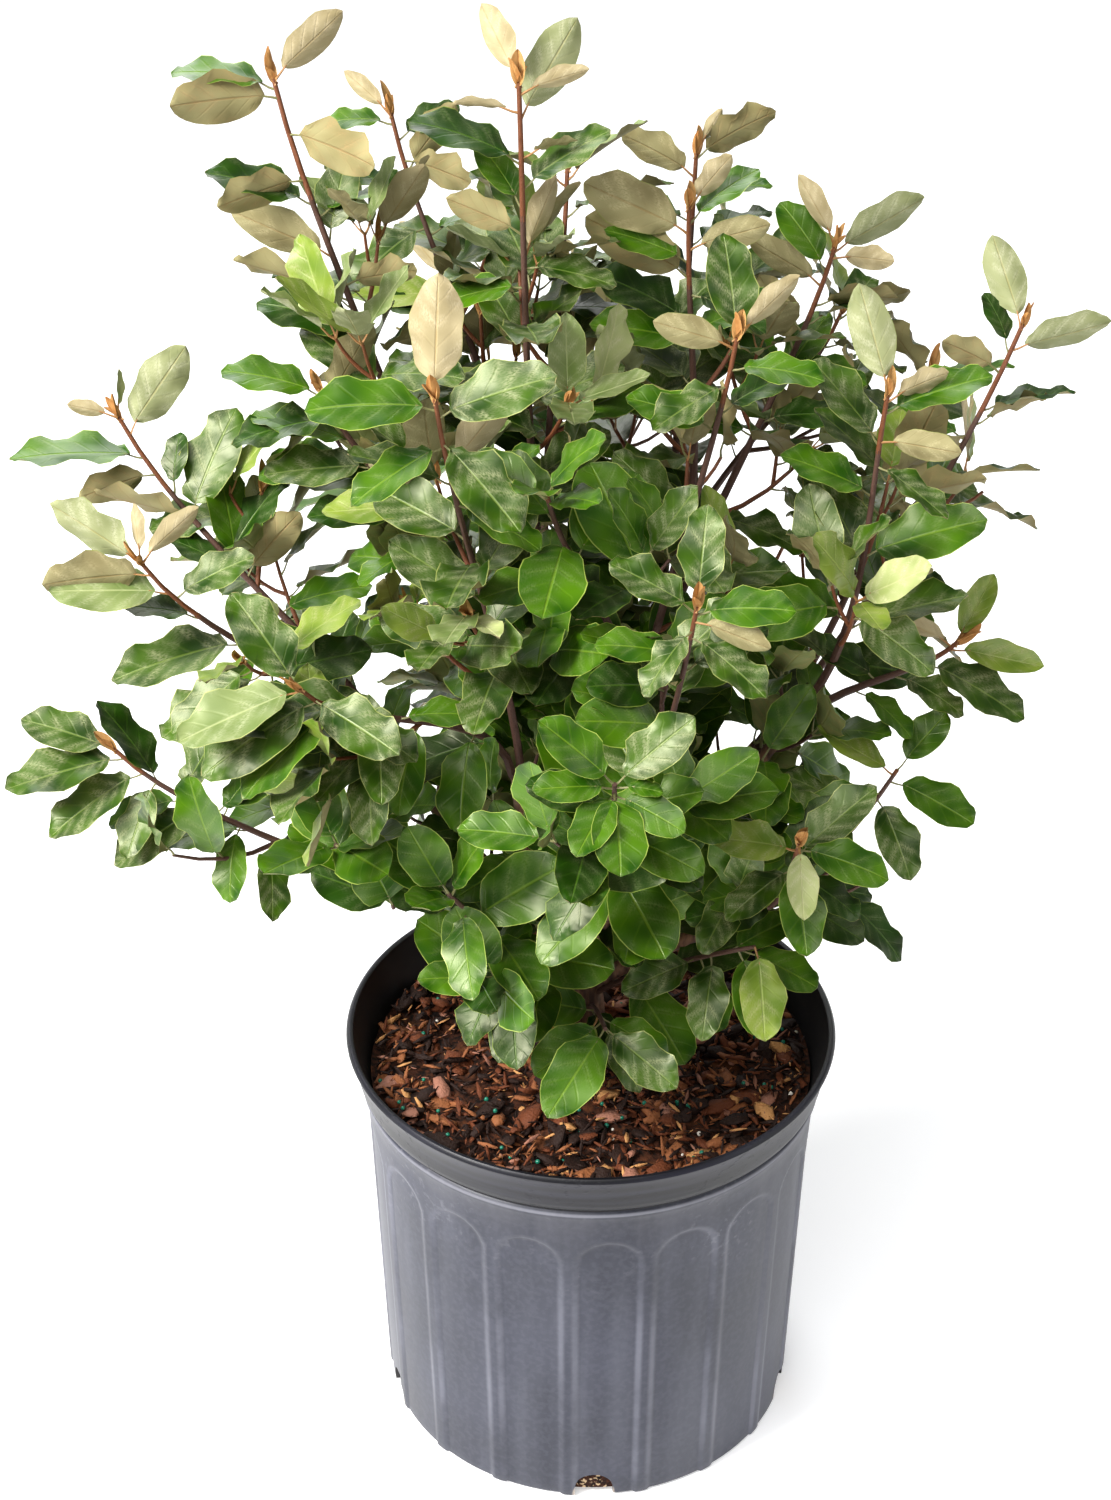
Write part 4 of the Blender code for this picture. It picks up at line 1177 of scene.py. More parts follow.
for name, sizes in LEAF_MODELS.items():
    leaf_models[name] = close_leaf(model_leaf(name, *sizes))
print("faces of a leaf:", len(leaf_models["oval_a"].sizes))

# %% [markdown]
# ## Keeping leaves apart
#
# Real leaves push each other aside. Here a new twig or leaf is tried a few times, and is left
# out if it would touch what is already placed, the pot or a limb, or if another mass's stem is
# nearer. For the test a leaf is only a thin diamond of six faces, in a tree that answers at once
# whether two shapes cross. No leaf grows into an opening either. These are the places where the
# eye sees sky through the crown or close beside it, each a narrow cone from the eye, and the
# ring of air round the pot below the crown.

# %% Plain shapes to test with
def leaf_diamond(root, ahead, up, length, width):
    across = ahead.cross(up).normalized()
    up = across.cross(ahead).normalized()
    middle = root + ahead * length * 0.48
    keel = middle - up * 0.0010
    start = root + ahead * length * 0.10
    tip = root + ahead * length * 0.99 - up * length * 0.08
    verts = [start, tip, middle + across * width * 0.48 + up * 0.001,
             middle - across * width * 0.48 + up * 0.001, keel]
    faces = [(0, 2, 3), (1, 3, 2), (0, 4, 2), (2, 4, 1), (1, 4, 3), (3, 4, 0)]
    return verts, faces


def rod(a, b, radius):
    """A three sided rod, to test a twig with."""
    ahead = (b - a).normalized()
    side = ahead.orthogonal().normalized()
    other = ahead.cross(side)
    verts = []
    for end in (a, b):
        for i in range(3):
            angle = math.tau * i / 3
            verts.append(end + (side * math.cos(angle) + other * math.sin(angle)) * radius)
    return verts, [(0, 1, 4, 3), (1, 2, 5, 4), (2, 0, 3, 5), (2, 1, 0), (3, 4, 5)]


def tree_of(verts, faces):
    return BVHTree.FromPolygons([tuple(v) for v in verts], faces)


print("faces of a rod:", len(rod(Vector((0, 0, 0)), Vector((0, 0, 1)), 0.1)[1]))

# %% The space round the plant
SPACE_CELL = 0.05


class Space:
    """What is already placed, by cells of space, and the masses' stems as straight pieces."""

    def __init__(self):
        self.items = {}
        feet, ends, owners = [], [], []
        for owner, name in enumerate(stems):
            points = stems[name].points
            feet += points[:-1]
            ends += points[1:]
            owners += [owner] * (len(points) - 1)
        self.feet = np.array(feet)
        self.along = np.array(ends) - self.feet
        self.square = (self.along ** 2).sum(axis=1)
        self.owners = np.array(owners)
        self.names = list(stems)

    def nearest_mass(self, point):
        off = np.array(point) - self.feet
        part = np.clip((off * self.along).sum(axis=1) / self.square, 0.0, 1.0)
        gap = ((off - self.along * part[:, None]) ** 2).sum(axis=1)
        return self.names[self.owners[int(gap.argmin())]]

    def cell(self, verts):
        middle = sum(verts, Vector((0, 0, 0))) / len(verts)
        return tuple(int(math.floor(c / SPACE_CELL)) for c in middle)

    def add(self, verts, faces, key):
        self.items.setdefault(self.cell(verts), []).append((tree_of(verts, faces), key))

    def free(self, verts, faces, skip=()):
        tree = tree_of(verts, faces)
        x, y, z = self.cell(verts)
        for i in (-1, 0, 1):
            for j in (-1, 0, 1):
                for k in (-1, 0, 1):
                    for item, key in self.items.get((x + i, y + j, z + k), ()):
                        if key not in skip and tree.overlap(item):
                            return False
        return True

    def add_limb(self, limb, key):
        for a, b, mark in zip(limb.points, limb.points[1:], limb.marks):
            self.add(*rod(a, b, limb.radius(mark)), key)


space = Space()
for name, limb in (*limbs.items(), *stems.items()):
    space.add_limb(limb, name)
print("cells with limbs:", len(space.items))

# %% Places where no leaf grows
SKIRT_HEIGHT = 0.300


def above_pot(points):
    for point in points:
        reach = math.hypot(point.x, point.y)
        if point.z < SKIRT_HEIGHT and reach > RIM_RADIUS - 0.004:
            return False
        if point.z < MIX_HEIGHT + 0.006 and reach < RIM_RADIUS + 0.004:
            return False
        if point.z < POT_HEIGHT + 0.002 and INNER_SHOULDER - 0.003 < reach < RIM_RADIUS + 0.004:
            return False
    return True


# where the line of sight through an opening crosses the plane y = 0, and the radius there
OPENINGS = (
    (0.074, 0.567, 0.0146), (0.068, 0.420, 0.0085), (0.089, 0.524, 0.0057), (0.023, 0.585, 0.0035),
    (0.030, 0.505, 0.0043), (-0.061, 0.379, 0.0045), (-0.073, 0.429, 0.0037), (0.121, 0.479, 0.0051),
    (-0.128, 0.264, 0.0270), (-0.137, 0.289, 0.0150), (-0.157, 0.321, 0.0100), (-0.210, 0.311, 0.0130),
    (-0.117, 0.301, 0.0101), (-0.164, 0.306, 0.0124), (-0.237, 0.331, 0.0184), (0.180, 0.330, 0.0250),
    (0.150, 0.358, 0.0090), (0.128, 0.283, 0.0090), (-0.096, 0.232, 0.0230), (0.186, 0.525, 0.0160),
    (0.208, 0.560, 0.0110), (0.165, 0.641, 0.0120), (-0.181, 0.481, 0.0110), (-0.153, 0.615, 0.0090),
    (-0.191, 0.583, 0.0090), (0.228, 0.439, 0.0090), (0.175, 0.404, 0.0080), (-0.041, 0.742, 0.0060),
    (0.213, 0.420, 0.0115), (0.192, 0.580, 0.0113), (-0.066, 0.706, 0.0070), (-0.078, 0.658, 0.0070),
    (-0.015, 0.727, 0.0080),
)
OPENING_EDGE = 0.004
eye = camera.location.copy()


def in_opening(points):
    for x, z, radius in OPENINGS:
        sight = Vector((x, 0.0, z)) - eye
        for point in points:
            share = (point - eye).dot(sight) / sight.length_squared
            if (point - eye - sight * share).length < radius * share + OPENING_EDGE:
                return True
    return False


print("openings:", len(OPENINGS))

# %% [markdown]
# ## Growing the twigs
#
# A twig leaves its stem at about fifty degrees, each one turned by the golden angle from the
# last, and then rises. That is the solids' rule. It is then carried one step finer: short spurs
# leave the twigs in the same way, and the bare boughs inside the crown carry a few leafy spurs
# of their own.

# %% Twigs and spurs
TWIG_LENGTH = 0.050
TWIG_SPACING = 0.040
TWIG_ANGLE = 52.0
TWIG_SWING = 0.9
TWIG_RISE = Vector((0, 0, 0.45))
TWIG_TIP_RADIUS = 0.0008
TWIG_ROOM = 0.0016
SPUR_LENGTH = 0.026
TOP_MARGIN = 0.030
GOLDEN_ANGLE = math.radians(137.5)
TRIES = 8
SEED = 11


def seeded(entries, stage):
    """Pairs each entry with its own random numbers, so a change to one leaves the others alone."""
    for number, entry in enumerate(entries):
        yield entry, random.Random(SEED * stage + number)


def turned_from(axis, angle, turn):
    side = axis.orthogonal().normalized()
    side = Matrix.Rotation(turn, 3, axis) @ side
    return (axis * math.cos(angle) + side * math.sin(angle)).normalized()


def grow_side_shoots(mass, parent, key, spacing, length, first, last, thick, rng):
    shoots = []
    count = max(1, round(parent.length * (last - first) / spacing))
    turn = rng.uniform(0.0, math.tau)
    for i in range(count):
        share = first + (last - first) * (i + 0.5) / count
        size = length * (1.2 - 0.5 * share) * rng.uniform(0.85, 1.2)
        turn += GOLDEN_ANGLE
        for attempt in range(TRIES):
            start = parent.at(share)
            swing = turn + rng.uniform(-TWIG_SWING, TWIG_SWING)
            lean = turned_from(parent.direction(share), math.radians(TWIG_ANGLE), swing)
            rise = (lean + TWIG_RISE).normalized()
            shoot = Limb([start, start + lean * size * 0.5, start + rise * size], thick, TWIG_TIP_RADIUS, 5)
            owner = space.nearest_mass(shoot.points[-1])
            if not above_pot(shoot.points) or (mass and owner != mass):
                continue
            if mass and shoot.points[-1].z > stems[mass].points[-1].z - TOP_MARGIN:
                continue
            body = rod(shoot.at(0.2), shoot.points[-1], TWIG_ROOM)
            if space.free(*body, skip=(key,)):
                shoot_key = (key, len(shoots))
                space.add_limb(shoot, shoot_key)
                shoots.append((shoot_key, shoot))
                break
    return shoots


twigs = {}
spurs = {}
for (name, stem), rng in seeded(stems.items(), 1000):
    reach = 0.3 if "_foot_" in name else 0.60 if MASSES[name][4] >= 0.6 else 0.84
    twigs[name] = grow_side_shoots(name, stem, name, TWIG_SPACING, TWIG_LENGTH, 0.12, reach, 0.0014, rng)
    spurs[name] = []
    for key, twig in twigs[name]:
        spurs[name] += grow_side_shoots(name, twig, key, 0.05, SPUR_LENGTH, 0.35, 0.75, 0.0011, rng)
print("twigs:", sum(len(t) for t in twigs.values()), "spurs:", sum(len(t) for t in spurs.values()))

# %% Spurs on the boughs
BOUGH_SPUR_LENGTH = 0.032
BOUGH_SPUR_SPACING = 0.017
bough_spurs = []
for name, rng in seeded(BOUGHS, 1500):
    first = 0.30 if BOUGHS[name][0] == "trunk" else 0.15
    bough_spurs += grow_side_shoots(None, limbs[name], name, BOUGH_SPUR_SPACING, BOUGH_SPUR_LENGTH,
                                    first, 0.97, 0.0013, rng)
print("spurs on boughs:", len(bough_spurs))

# %% [markdown]
# ## Growing the leaves
#
# Leaves stand on short stalks, one after another round the shoot. Those at the tip stand up and
# close in, so that their pale backs show, while older ones spread and turn their gloss to the
# light. A leaf's kind, from cream bud leaf to old deep green, follows from how young its mass
# is and how near it is to the tip.

# %% Kinds of leaves
KINDS = {
    "bud": ("bud_a", "bud_b"),
    "pale": ("young_a", "oval_c"),
    "cream": ("young_a", "oval_c", "young_b"),
    "olive": ("oval_c", "young_a", "oval_a"),
    "silver": ("wavy_a", "wavy_b", "oval_c", "oval_a"),
    "bright": ("oval_a", "oval_b", "round_a", "round_b"),
    "deep": ("oval_b", "wavy_a", "round_b", "oval_a"),
}


def kind_of(age, place, rng):
    """place is 1 at the tip of a shoot and 0 at its foot."""
    youth = age * (0.30 + 0.70 * place ** 1.5) + rng.gauss(0.0, 0.08)
    if youth > 0.66:
        return "cream" if rng.random() < 0.4 else "pale"
    if youth > 0.50:
        return "olive"
    if youth > 0.26:
        return "silver"
    if place > 0.55 or rng.random() < 0.35:
        return "bright"
    return "deep"


print("kinds of leaves:", list(KINDS))

# %% Place one leaf
STALK_LENGTH = 0.0075
LIGHT = Vector((0.0, -0.40, 1.0))
LIGHT_SPREAD = 0.40
JITTER = 0.22


def leaf_up(root, ahead, shoot_direction, apex_share, rng):
    """The way the upper side faces: to the shoot's apex, and to the light."""
    apex = (shoot_direction - ahead * shoot_direction.dot(ahead)).normalized()
    reach = math.hypot(root.x, root.y)
    out = Vector((root.x, root.y, 0.0)) * (LIGHT_SPREAD * min(1.0, reach / 0.10) / max(reach, 0.001))
    light = (LIGHT + out).normalized()
    jitter = Vector((rng.gauss(0, 1), rng.gauss(0, 1), rng.gauss(0, 1))) * JITTER
    return (apex * apex_share + light * (1.0 - apex_share) + jitter).normalized()


placed_leaves = []
stalk_lines = []


def add_leaf(root, ahead, up, length, kind, rng, stalk_from, mass):
    """Notes one leaf and its stalk. The round shapes are kept for the old masses."""
    shapes = [shape for shape in KINDS[kind] if MASSES[mass][4] < 0.25 or "round" not in shape]
    model = rng.choice(shapes)
    across = ahead.cross(up).normalized()
    up = across.cross(ahead).normalized()
    matrix = placed(root, across, ahead, up, (length, length, length))
    placed_leaves.append((kind, model, matrix, rng.randrange(LEAF_LOOKS), mass))
    middle = stalk_from.lerp(root, 0.5) + (root - stalk_from).cross(across) * 0.12
    stalk_lines.append((kind, [(stalk_from, 0.0007), (middle, 0.00055), (root + ahead * 0.003, 0.0004)]))


print("length of a stalk:", STALK_LENGTH)

# %% The rule for the leaves of a shoot
LEAF_LENGTH = 0.049
LEAF_SPACING = 0.0135
LEAF_WIDTH_SHARE = 0.54
SIDE_ANGLES = (50, 78)
TIP_ANGLES = (24, 68)
TIP_TURN = math.radians(125.0)
leafy = set()


def grow_leaves_on(mass, key, limb, first, last, tips, age, rng):
    """Tries leaves from the tip of a shoot down, and notes in leafy which shoots carry any."""
    places = []
    count = round(limb.length * (last - first) / LEAF_SPACING)
    for i in range(count):
        places.append((first + (last - first) * i / max(1, count), False))
    for i in range(tips):
        places.append((0.995 - 0.012 * i, True))
    turn = rng.uniform(0.0, math.tau)
    for share, at_tip in reversed(places):
        turn += TIP_TURN if at_tip else GOLDEN_ANGLE
        size = rng.uniform(0.84, 1.14) * (0.80 if at_tip else 1.0 - 0.12 * (1.0 - share))
        kind = kind_of(age, 1.0 if at_tip else share * 0.9, rng)
        length = LEAF_LENGTH * size
        for attempt in range(TRIES):
            angle = math.radians(rng.uniform(*(TIP_ANGLES if at_tip else SIDE_ANGLES)))
            direction = limb.direction(share)
            ahead = turned_from(direction, angle, turn + rng.uniform(-0.7, 0.7))
            stalk = (ahead + direction * 0.5).normalized() * STALK_LENGTH
            foot_place = limb.at(share)
            root = foot_place + stalk
            up = leaf_up(root, ahead, direction, 0.75 if at_tip else 0.35, rng)
            if not at_tip:
                ahead = (ahead - up * ahead.dot(up) * 0.55).normalized()
            diamond = leaf_diamond(root, ahead, up, length, length * LEAF_WIDTH_SHARE)
            owner = space.nearest_mass(root + ahead * length * 0.5)
            if not above_pot(diamond[0]) or (mass and owner != mass) or in_opening(diamond[0]):
                continue
            if mass in laid and diamond[0][1].z > stems[mass].points[-1].z:
                continue
            if space.free(*diamond, skip=(key,)):
                space.add(*diamond, ("leaf", len(placed_leaves)))
                add_leaf(root, ahead, up, length, kind, rng, foot_place, owner)
                leafy.add(key)
                break


print("tries for a leaf:", TRIES)

# %% [markdown]
# ## Shoots that the eye knows
#
# Some shoots stand clear of the crown, and the eye knows the plant by them. Their last leaves
# are laid one by one as they look from the front: how far below the tip the stalk sits in mm,
# the bearing in the picture clockwise from straight up, the lean to the viewer, the length in
# mm, the roll (0 with the upper side to the viewer, 90 edge on, 180 with the back), the kind.

# %% Leaves laid one by one
# below the tip, bearing, lean, length, roll and kind
SHOOTS = {
    "foliage_top_left": [
        (1, 48, 5, 38, 140, "cream"), (5, -76, 0, 44, 50, "bright"), (9, -98, 8, 45, 140, "silver"),
        (26, 112, 10, 45, 150, "silver"), (60, -73, 5, 46, 40, "deep"), (48, -112, 15, 38, 145, "silver"),
        (66, 60, -20, 36, 55, "bright"), (80, 12, 5, 37, 15, "silver"), (86, -68, 5, 47, 150, "olive"),
        (100, 80, 0, 30, 130, "silver"), (108, -70, 0, 52, 115, "silver"), (112, -60, -15, 40, 45, "bright"),
        (125, -70, 0, 50, 40, "deep")],
    "foliage_top_left_back": [
        (2, -48, 0, 25, 160, "cream"), (6, -86, 5, 30, 50, "bright"), (14, 58, -5, 31, 30, "deep"),
        (24, 112, 10, 34, 150, "silver"), (30, 38, 5, 34, 150, "silver"), (46, -62, 5, 36, 45, "deep"),
        (58, -127, 10, 47, 30, "silver"), (62, 70, 0, 38, 60, "bright")],
    "foliage_top_centre": [
        (1, -27, 0, 32, 150, "cream"), (18, 30, 0, 46, 165, "pale"), (6, 74, 5, 26, 140, "cream"),
        (14, -84, 0, 24, 105, "cream"), (35, 73, 0, 20, 105, "olive"), (50, 56, 5, 41, 40, "silver"),
        (38, -66, 5, 48, 50, "deep"), (60, -32, 5, 30, 20, "bright"), (72, -66, 5, 32, 145, "silver"),
        (84, 22, 0, 33, 150, "cream"), (88, 100, 5, 38, 50, "silver"), (98, -100, 0, 34, 30, "bright")],
    "foliage_top_right_back": [
        (3, 56, 0, 40, 145, "silver"), (1, 32, 10, 18, 165, "cream"), (12, -60, 0, 36, 140, "olive"),
        (20, 84, 0, 34, 50, "bright"), (34, -75, -5, 38, 50, "deep"), (46, 62, -5, 40, 50, "deep")],
    "foliage_top_right": [
        (2, 40, 10, 24, 150, "cream"), (9, 48, 0, 36, 35, "bright"), (14, -68, 10, 48, 155, "olive"),
        (36, -60, 5, 50, 150, "silver"), (22, 77, 10, 33, 150, "olive"), (28, -70, 5, 36, 40, "bright"),
        (44, 118, 10, 36, 40, "deep"), (60, -60, 5, 48, 40, "deep"), (70, -80, 5, 44, 40, "bright"),
        (66, 64, 5, 38, 40, "bright")],
    "foliage_high_right": [
        (0, -30, 5, 31, 155, "cream"), (3, 61, 0, 45, 140, "pale"), (6, 98, 10, 24, 160, "cream"),
        (14, -32, 10, 35, 15, "bright"), (20, -61, 5, 36, 140, "olive"), (30, 82, 0, 35, 100, "silver"),
        (40, 68, 0, 30, 80, "deep"), (44, -54, 10, 31, 150, "silver"), (58, 110, 10, 34, 50, "bright"),
        (54, -24, 5, 34, 145, "silver"), (66, -66, 10, 38, 30, "deep"), (72, 34, 5, 36, 35, "bright"),
        (84, -30, 5, 38, 20, "silver"), (92, 84, 5, 38, 45, "deep"), (100, -74, 10, 38, 40, "bright")],
    "foliage_far_right": [
        (3, -17, 0, 41, 165, "pale"), (14, 77, 0, 43, 140, "pale"), (16, -22, 5, 25, 20, "deep"),
        (26, -65, 10, 28, 150, "silver"), (46, 76, 0, 41, 75, "deep"), (54, 68, 5, 32, 110, "silver"),
        (62, -70, 10, 36, 40, "bright"), (86, 80, 0, 42, 75, "deep"), (94, -48, 5, 38, 150, "silver")],
    "foliage_right_long": [
        (0, -16, 0, 44, 165, "pale"), (4, 66, 5, 24, 140, "cream"), (10, 69, 10, 46, 35, "bright"),
        (24, 104, 15, 32, 150, "olive"), (26, -40, 10, 43, 25, "silver"), (36, 129, 15, 36, 40, "silver"),
        (52, -66, 10, 42, 35, "bright"), (84, 73, 15, 54, 30, "bright"), (88, -27, 10, 50, 20, "silver"),
        (108, 92, 15, 40, 40, "deep"), (120, -64, 10, 40, 40, "bright")],
    "foliage_right_low": [
        (4, -66, 5, 32, 145, "cream"), (4, 30, 0, 33, 20, "olive"), (6, 104, 10, 39, 35, "olive"),
        (20, 118, 10, 50, 40, "silver"), (26, -5, 10, 40, 20, "bright"), (36, 118, 10, 34, 45, "silver"),
        (44, -60, 10, 34, 40, "deep"), (56, 128, 10, 32, 45, "bright")],
    "foliage_front_right": [
        (1, 180, 25, 33, 10, "cream"), (6, 106, 15, 39, 35, "bright"), (8, -80, 15, 38, 35, "olive"),
        (16, 48, 5, 44, 30, "silver"), (24, 173, 20, 40, 10, "bright"), (30, -125, 15, 36, 40, "silver"),
        (36, 122, 10, 34, 40, "deep")],
    "foliage_centre_right": [
        (3, -6, 5, 43, 10, "silver"), (1, 46, 5, 32, 150, "cream"), (6, -76, 10, 33, 150, "olive"),
        (16, 96, 15, 38, 40, "bright"), (24, -122, 15, 38, 40, "silver"), (38, 60, 10, 36, 40, "deep"),
        (46, -70, 10, 38, 40, "bright")],
    "foliage_back_left": [
        (2, -40, 5, 36, 150, "cream"), (8, -95, 5, 50, 30, "olive"), (16, 60, 5, 42, 40, "bright"),
        (28, -70, 5, 42, 40, "deep"), (36, 80, 5, 42, 145, "silver")],
    "foliage_left_upper": [
        (4, -72, 5, 44, 40, "bright"), (10, 30, 5, 38, 145, "olive"), (18, -100, 10, 46, 40, "deep"),
        (34, -70, 10, 46, 45, "bright"), (48, -95, 10, 46, 35, "silver"), (62, -78, 10, 46, 45, "bright"),
        (78, -92, 10, 44, 40, "deep")],
    "foliage_right_skirt": [
        (1, 40, 5, 30, 30, "bright"), (4, -62, 10, 40, 35, "olive"), (8, 118, 10, 40, 30, "bright"),
        (16, -108, 15, 42, 30, "bright"), (20, 160, 20, 40, 25, "silver"), (34, -60, 15, 40, 35, "silver")],
    "foliage_centre_left": [
        (0, 2, 0, 47, 170, "cream"), (6, -88, 15, 52, 40, "bright"), (10, 72, 15, 50, 30, "silver"),
        (24, 139, 20, 50, 25, "silver"), (26, -122, 15, 44, 40, "bright"), (40, 40, 5, 40, 150, "cream"),
        (48, -74, 10, 42, 45, "silver"), (60, 118, 15, 40, 45, "bright")],
    "foliage_left_high": [
        (11, 33, 0, 46, 160, "pale"), (24, -89, 10, 60, 50, "bright"), (1, -80, 5, 19, 150, "cream"),
        (2, 0, 0, 18, 60, "cream"), (48, 4, 5, 26, 30, "deep"), (34, -110, 10, 34, 150, "silver"),
        (64, -74, 5, 46, 118, "silver"), (62, 21, 5, 54, 20, "silver"), (90, 30, 5, 46, 35, "deep"),
        (96, -8, 5, 48, 40, "bright"), (102, 40, 5, 38, 150, "silver"), (104, -60, 10, 38, 45, "deep"),
        (126, 70, 5, 44, 40, "bright")],
    "foliage_left_mid": [
        (0, -56, 5, 44, 145, "pale"), (0, 48, 5, 32, 150, "cream"), (1, -6, 5, 22, 150, "cream"),
        (8, -94, 5, 45, 140, "olive"), (22, -90, 10, 50, 20, "pale"), (26, 62, 5, 38, 30, "silver"),
        (44, -80, 10, 34, 50, "deep"), (70, -104, 10, 60, 40, "silver"), (74, 84, 5, 36, 50, "bright"),
        (84, -135, 10, 40, 40, "bright")],
    "foliage_left_tip": [
        (2, -70, 5, 43, 40, "silver"), (8, -105, 10, 54, 40, "silver"), (20, -124, 10, 51, 45, "silver"),
        (28, -163, 15, 37, 20, "silver"), (32, -33, 0, 47, 60, "deep"), (46, -104, 0, 38, 50, "bright"),
        (56, -122, 10, 48, 40, "silver"), (62, 60, 0, 36, 50, "bright"), (82, -95, 5, 40, 45, "bright"),
        (76, -172, 15, 36, 30, "bright"), (94, 176, 15, 38, 30, "silver"), (44, 30, 10, 46, 25, "silver"),
        (66, 38, 10, 48, 40, "bright")],
    "foliage_left_low": [
        (2, -113, 10, 54, 30, "pale"), (1, -33, 10, 48, 15, "silver"), (14, -121, 5, 58, 30, "silver"),
        (26, -133, 8, 54, 45, "bright"), (12, 121, 20, 46, 25, "silver"), (30, 122, 15, 40, 35, "silver"),
        (28, -101, 15, 55, 45, "silver"), (44, -108, 15, 50, 45, "bright"), (50, -86, 12, 56, 30, "silver"),
        (64, -97, 12, 54, 45, "bright"), (54, 174, 25, 40, 20, "silver"), (60, -112, 20, 34, 15, "silver"),
        (66, -136, 15, 50, 30, "silver"), (66, 84, 10, 40, 45, "bright"), (80, -165, 15, 42, 30, "bright")],
    "foliage_front_mid": [
        (1, 5, 5, 38, 10, "silver"), (4, -60, 10, 37, 30, "silver"), (5, 86, 15, 38, 40, "bright"),
        (9, 114, 20, 30, 150, "olive"), (14, -140, 20, 33, 30, "silver"), (18, 130, 20, 38, 35, "silver"),
        (32, -78, 15, 36, 40, "bright"), (40, 60, 10, 36, 40, "deep")],
    "foliage_front_centre": [
        (1, -49, 15, 38, 20, "bright"), (2, 49, 15, 40, 20, "silver"), (4, -90, 20, 31, 30, "bright"),
        (3, 95, 20, 16, 30, "bright"), (8, -147, 35, 34, 20, "bright"), (7, 175, 40, 37, 10, "bright"),
        (10, 117, 25, 31, 25, "bright"), (26, -70, 15, 36, 40, "deep"), (30, 74, 15, 36, 40, "bright")],
    "foliage_foot_front": [
        (2, -144, 25, 50, 5, "bright"), (4, 128, 15, 42, 20, "silver"), (14, 150, 15, 34, 25, "silver"),
        (16, -125, 20, 40, 15, "bright"), (30, 118, 10, 36, 30, "bright"), (34, -150, 15, 34, 20, "olive"),
        (48, -78, 15, 42, 20, "bright")],
    "foliage_foot_left": [
        (0, -174, 20, 28, 10, "bright"), (12, 140, 10, 26, 30, "deep"), (40, -150, 15, 24, 15, "olive")],
    "foliage_low_right": [
        (0, 176, 15, 42, 12, "olive"), (12, 166, 20, 40, 15, "bright"), (32, 190, 20, 40, 10, "silver"),
        (10, 116, 10, 36, 35, "bright"), (44, -112, 15, 38, 15, "silver"), (22, 60, 10, 36, 35, "bright"),
        (40, 170, 20, 34, 25, "bright")],
}
print("shoots:", len(SHOOTS), "with leaves:", sum(len(rows) for rows in SHOOTS.values()))

# %% Lay them
LEAN_PLAY = 6
ROLL_PLAY = 10
pitch = math.radians(CAMERA_PITCH)
VIEWER = Vector((0.0, -math.cos(pitch), math.sin(pitch)))
PICTURE_UP = Vector((0.0, math.sin(pitch), math.cos(pitch)))


def lay_shoot(name, rng):
    """Lays the listed leaves of one shoot, and returns how far down its stem they reach."""
    stem = stems[name]
    for down, bearing, lean, length, roll, kind in SHOOTS[name]:
        angle = math.radians(bearing)
        lean = math.radians(lean + rng.uniform(-LEAN_PLAY, LEAN_PLAY))
        roll = math.radians(roll + rng.uniform(-ROLL_PLAY, ROLL_PLAY))
        flat = Vector((math.sin(angle), 0, 0)) + PICTURE_UP * math.cos(angle)
        ahead = flat * math.cos(lean) + VIEWER * math.sin(lean)
        near = (VIEWER - ahead * ahead.dot(VIEWER)).normalized()
        beside = ahead.cross(near)
        if beside.dot(PICTURE_UP) < 0.0:
            beside = -beside
        up = near * math.cos(roll) + beside * math.sin(roll)
        place = stem.at(1.0 - 0.001 * down / stem.length)
        root = place + (ahead * 0.8 + stem.direction(1.0) * 0.3) * STALK_LENGTH
        length = 0.001 * length
        space.add(*leaf_diamond(root, ahead, up, length, length * 0.46), ("leaf", len(placed_leaves)))
        add_leaf(root, ahead, up, length, kind, rng, place, name)
    return 0.001 * max(entry[0] for entry in SHOOTS[name])


laid = {name: lay_shoot(name, rng) for name, rng in seeded(SHOOTS, 500)}
print("leaves laid by eye:", len(placed_leaves))

# %% Leaves grown by the rule
for (name, stem), rng in seeded(stems.items(), 2000):
    age = MASSES[name][4]
    if name in laid:
        last = 1.0 - (laid[name] + 0.010) / stem.length
        grow_leaves_on(name, name, stem, 0.16, max(0.2, last), 0, age, rng)
    else:
        grow_leaves_on(name, name, stem, 0.16, 0.95, 4, age, rng)
    for key, twig in twigs[name]:
        grow_leaves_on(name, key, twig, 0.30, 0.95, 3, age * 0.9, rng)
    for key, spur in spurs[name]:
        grow_leaves_on(name, key, spur, 0.45, 0.95, 3, age * 0.8, rng)
for (key, spur), rng in seeded(bough_spurs, 2500):
    grow_leaves_on(None, key, spur, 0.35, 0.95, 4, 0.0, rng)
print("leaves:", len(placed_leaves))
print({kind: sum(1 for leaf in placed_leaves if leaf[0] == kind) for kind in KINDS})

# %% [markdown]
# ## Buds
#
# The youngest shoots end in a tight orange bud of two or three folded leaves.

# %% Buds at the young tips
BUD_LENGTH = 0.016
BUD_LEAVES = 3
BUD_TURN = math.radians(137.0)
for (name, stem), rng in seeded(stems.items(), 3000):
    age = MASSES[name][4]
    tips = [stem] if age >= 0.3 else []
    tips += [twig for key, twig in twigs[name] if age >= 0.6 and rng.random() < 0.5]
    for limb in tips:
        turn = rng.uniform(0.0, math.tau)
        for i in range(BUD_LEAVES):
            turn += BUD_TURN
            ahead = turned_from(limb.direction(1.0), math.radians(4 + 13 * i + rng.uniform(0, 8)), turn)
            up = (limb.direction(1.0) - ahead * ahead.dot(limb.direction(1.0))).normalized()
            length = BUD_LENGTH * rng.uniform(0.85, 1.15) * (1.0 - 0.18 * i)
            root = limb.at(1.0) - ahead * 0.002
            add_leaf(root, ahead, up, length, "bud", rng, root - ahead * 0.001, name)
